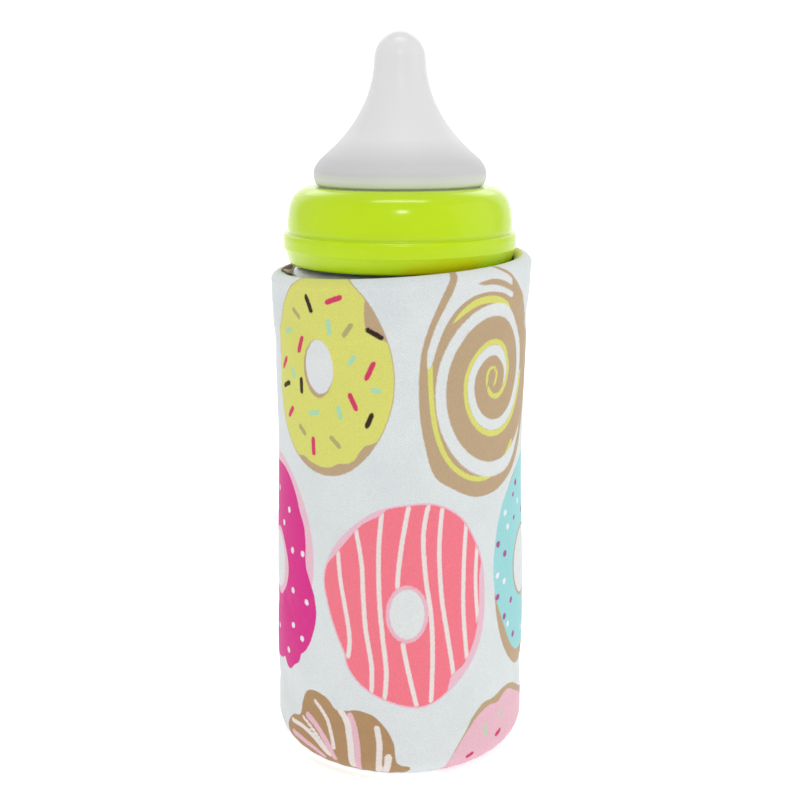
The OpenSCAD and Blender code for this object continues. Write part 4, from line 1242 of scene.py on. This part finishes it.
def collar_piece():
    R, Z = COLLAR_R, COLLAR_Z0
    p = [[R - 1.9, Z], [R - 1.6, Z + 0.25]]
    p += bez([R - 1.6, Z + 0.25], [R - 1.1, Z + 1.9], [R - 0.6, Z + 3.6], [R - 0.12, Z + 4.3], 10)
    p += bez([R - 0.12, Z + 4.3], [R, Z + 4.5], [R, Z + 4.7], [R, Z + 5], 5)
    p += [[R, Z + 6], [R, Z + 7]]
    p += bez([R, Z + 7], [R, Z + 8.4], [R - 0.5, Z + 8.5], [R - 1.1, Z + 8.6], 12)
    p += bez([R - 1.1, Z + 8.6], [R - 1.4, Z + 8.7], [R - 1.3, Z + 9.2], [R - 1.2, Z + 9.5], 8)
    p += bez([R - 1.2, Z + 9.5], [R - 1.25, Z + 13.5], [R - 1.8, Z + 17.5], [R - 3.6, Z + 19.2], 26)
    p += bez([R - 3.6, Z + 19.2], [R - 4.8, Z + 20.4], [R - 6.4, COLLAR_Z1], [R - 8, COLLAR_Z1], 20)
    p += [[23.8, COLLAR_Z1]] + bez([23.8, COLLAR_Z1], [23.3, COLLAR_Z1], [23, COLLAR_Z1 - 0.3], [23, COLLAR_Z1 - 0.8], 8)
    p += [[23, 163.5], [23.2, 163.3], [28.6, 163.3], [28.9, 163], [28.9, Z + 0.5]] + bez([28.9, Z + 0.5], [28.9, Z + 0.2], [29.1, Z], [29.4, Z], 4)
    V, F = join_geo([lathe(clean(p), 256), ridge(28.9, 27.65, 2, 1, 147.8, 1.1)])
    o = make("screw_collar", V, F)
    clean_mesh(o, 1e-7)
    sharp(o, 42)
    return finish_piece(o, COLLAR, "collar", "collar_plastic", "collar_ring")


def teat_piece():
    T, t = TEAT_Z1, 1.7
    out = [[23.1, 161.5], [26.6, 161.5]] + bez([26.6, 161.5], [26.85, 161.5], [27, 161.65], [27, 161.9], 3) + [[27, 162.6]]
    out += bez([27, 162.6], [27, 162.85], [26.85, 163], [26.6, 163], 3) + [[22.9, 163], [22.65, 163.3], [22.65, 165.6]]
    out += bez([22.65, 165.6], [22.7, 165.9], [22.9, 165.85], [23.3, 165.9], 5)
    out += bez([23.3, 165.9], [24, 166.2], [24.4, 167.4], [24.4, 168.9], 14)
    out += bez([24.4, 168.9], [24.4, 171], [23, 172.6], [21.6, 173.9], 14)
    out += bez([21.6, 173.9], [13.2, 180.8], [7.7, 189.5], [7.2, T - 8], 40)
    out += [[7.2 * math.cos(i * math.pi / 36), T - 8 + 8 * math.sin(i * math.pi / 36)] for i in range(1, 18)]
    top = [[0.75, T - 0.01], [0.5, T - 0.1], [0.4, T - 0.3], [0.4, T - 1.9], [0.6, T - 2.15]]
    inn = [[(7.2 - t) * math.cos(i * math.pi / 24), T - 8 + (8 - t * 1.2) * math.sin(i * math.pi / 24)] for i in range(10, 0, -1)]
    inn += [[7.2 - t, T - 8]] + bez([7.2 - t, T - 8], [7.6 - t, 189], [12.2 - t, 179.6], [20.6 - t, 172.6], 26)
    inn += bez([20.6 - t, 172.6], [22.2 - t, 171.2], [24.4 - t, 170], [24.4 - t, 168.5], 10)
    inn += bez([24.4 - t, 168.5], [24.4 - t, 167.4], [20.6, 166.6], [20.6, 165.6], 8) + [[20.6, 163.4], [23.1, 161.5]]
    V, F = lathe(clean(out + top + inn), 200)
    o = make("soft_teat", V, F)
    clean_mesh(o, 1e-7)
    sharp(o, 60)
    return finish_piece(o, TEAT, "teat", "teat_silicone", "teat")


BOT, COL, TEATP = bottle_piece(), collar_piece(), teat_piece()


def ticks():
    """A plain measuring scale moulded on the bottle: lines only."""
    V, f = [], []
    for k, z in enumerate(np.arange(24, 127, 5.2)):
        w = 11 if k % 5 == 0 else (7 if k % 5 in (2,) else 5)
        n = 12
        b = len(V)
        for i in range(n + 1):
            a = (180 + 30 - w / 2 * 0 + i * w / n / 31.5 / D)
            e = math.sqrt(max(0.0, 1 - (2 * i / n - 1) ** 8))
            for r, dz in ((31.42, -0.25), (31.42, 0.25), (31.68, 0.16 * e + 0.02), (31.68, -0.16 * e - 0.02)):
                V.append([r * math.sin(a * D), -r * math.cos(a * D), z + dz])
        for i in range(n):
            for j in range(4):
                a_, b_ = b + 4 * i + j, b + 4 * i + (j + 1) % 4
                f.append([a_, a_ + 4, b_ + 4, b_])
        f.append([b, b + 1, b + 2, b + 3])
        f.append([b + 4 * n + 3, b + 4 * n + 2, b + 4 * n + 1, b + 4 * n])
    o = make("scale_lines", V, f)
    clean_mesh(o, 1e-8)
    return finish_piece(o, TICKS, "bottle", "bottle_plastic")


ticks()

# ---------------------------------------------------------------- floor, light and camera
def floor():
    n = 40
    V, f = [], []
    prof = [(-1.2 + 0.06 * i, 0.0) for i in range(41)]
    prof += [(1.2 + 0.5 * math.sin(t * math.pi / 16), 0.5 - 0.5 * math.cos(t * math.pi / 16)) for t in range(1, 9)]
    prof += [(1.7, 1.6)]
    for y, z in prof:
        for i in range(n + 1):
            V.append([(-2 + 4 * i / n) * 1000, y * 1000, z * 1000])
    for j in range(len(prof) - 1):
        for i in range(n):
            a = j * (n + 1) + i
            f.append([a, a + 1, a + n + 2, a + n + 1])
    o = make("floor", V, f)
    M = Mat("floor_mat")
    col = M.mix(M.range(M.noise(M.obj(), 3, 3.0), 0.3, 0.7, 0, 1), (0.93, 0.93, 0.93, 1), (0.95, 0.95, 0.95, 1))
    M.link(col, M.b.inputs["Base Color"])
    M.set(Roughness=0.85, Specular_IOR_Level=0.1, Emission_Color=(1, 1, 1, 1), Emission_Strength=0.42)
    o.data.materials.append(M.m)


floor()


def area(name, loc, target, sx, sy, power, color=(1, 1, 1)):
    li = bpy.data.lights.new(name, "AREA")
    li.shape = "RECTANGLE"
    li.size, li.size_y = sx, sy
    li.energy = power
    li.color = color
    o = bpy.data.objects.new(name, li)
    o.location = loc
    d = Vector(target) - Vector(loc)
    o.rotation_euler = d.to_track_quat("-Z", "Y").to_euler()
    bpy.context.scene.collection.objects.link(o)
    return o


area("top_box", (0.0, -0.10, 0.85), (0, 0, 0.12), 0.42, 0.14, 1.3)
area("front_small", (0.03, -0.75, 0.60), (0, 0, 0.17), 0.13, 0.09, 0.8)
area("fill_right", (0.95, -0.1, 0.45), (0, 0, 0.09), 0.9, 0.9, 1.3)
area("fill_left", (-0.95, -0.1, 0.45), (0, 0, 0.09), 0.9, 0.9, 0.4, (0.95, 0.97, 1.0))
area("back_wash", (0.0, 0.9, 0.8), (0, 0.5, 0.0), 1.2, 0.6, 2.4)

w = bpy.data.worlds.new("studio")
w.use_nodes = True
w.node_tree.nodes["Background"].inputs["Color"].default_value = (1, 1, 1, 1)
w.node_tree.nodes["Background"].inputs["Strength"].default_value = 0.67
sc = bpy.context.scene
sc.world = w
sc.view_settings.view_transform = "Standard"
sc.view_settings.look = "None"
sc.view_settings.exposure = 0.0

cam = bpy.data.cameras.new("camera")
cam.lens = 54
cam.sensor_width = 36
cam.clip_start = 0.01
co = bpy.data.objects.new("camera", cam)
co.location = (0, -0.3446, 0.1859)
co.rotation_euler = (math.radians(76.5), 0, 0)
sc.collection.objects.link(co)
sc.camera = co
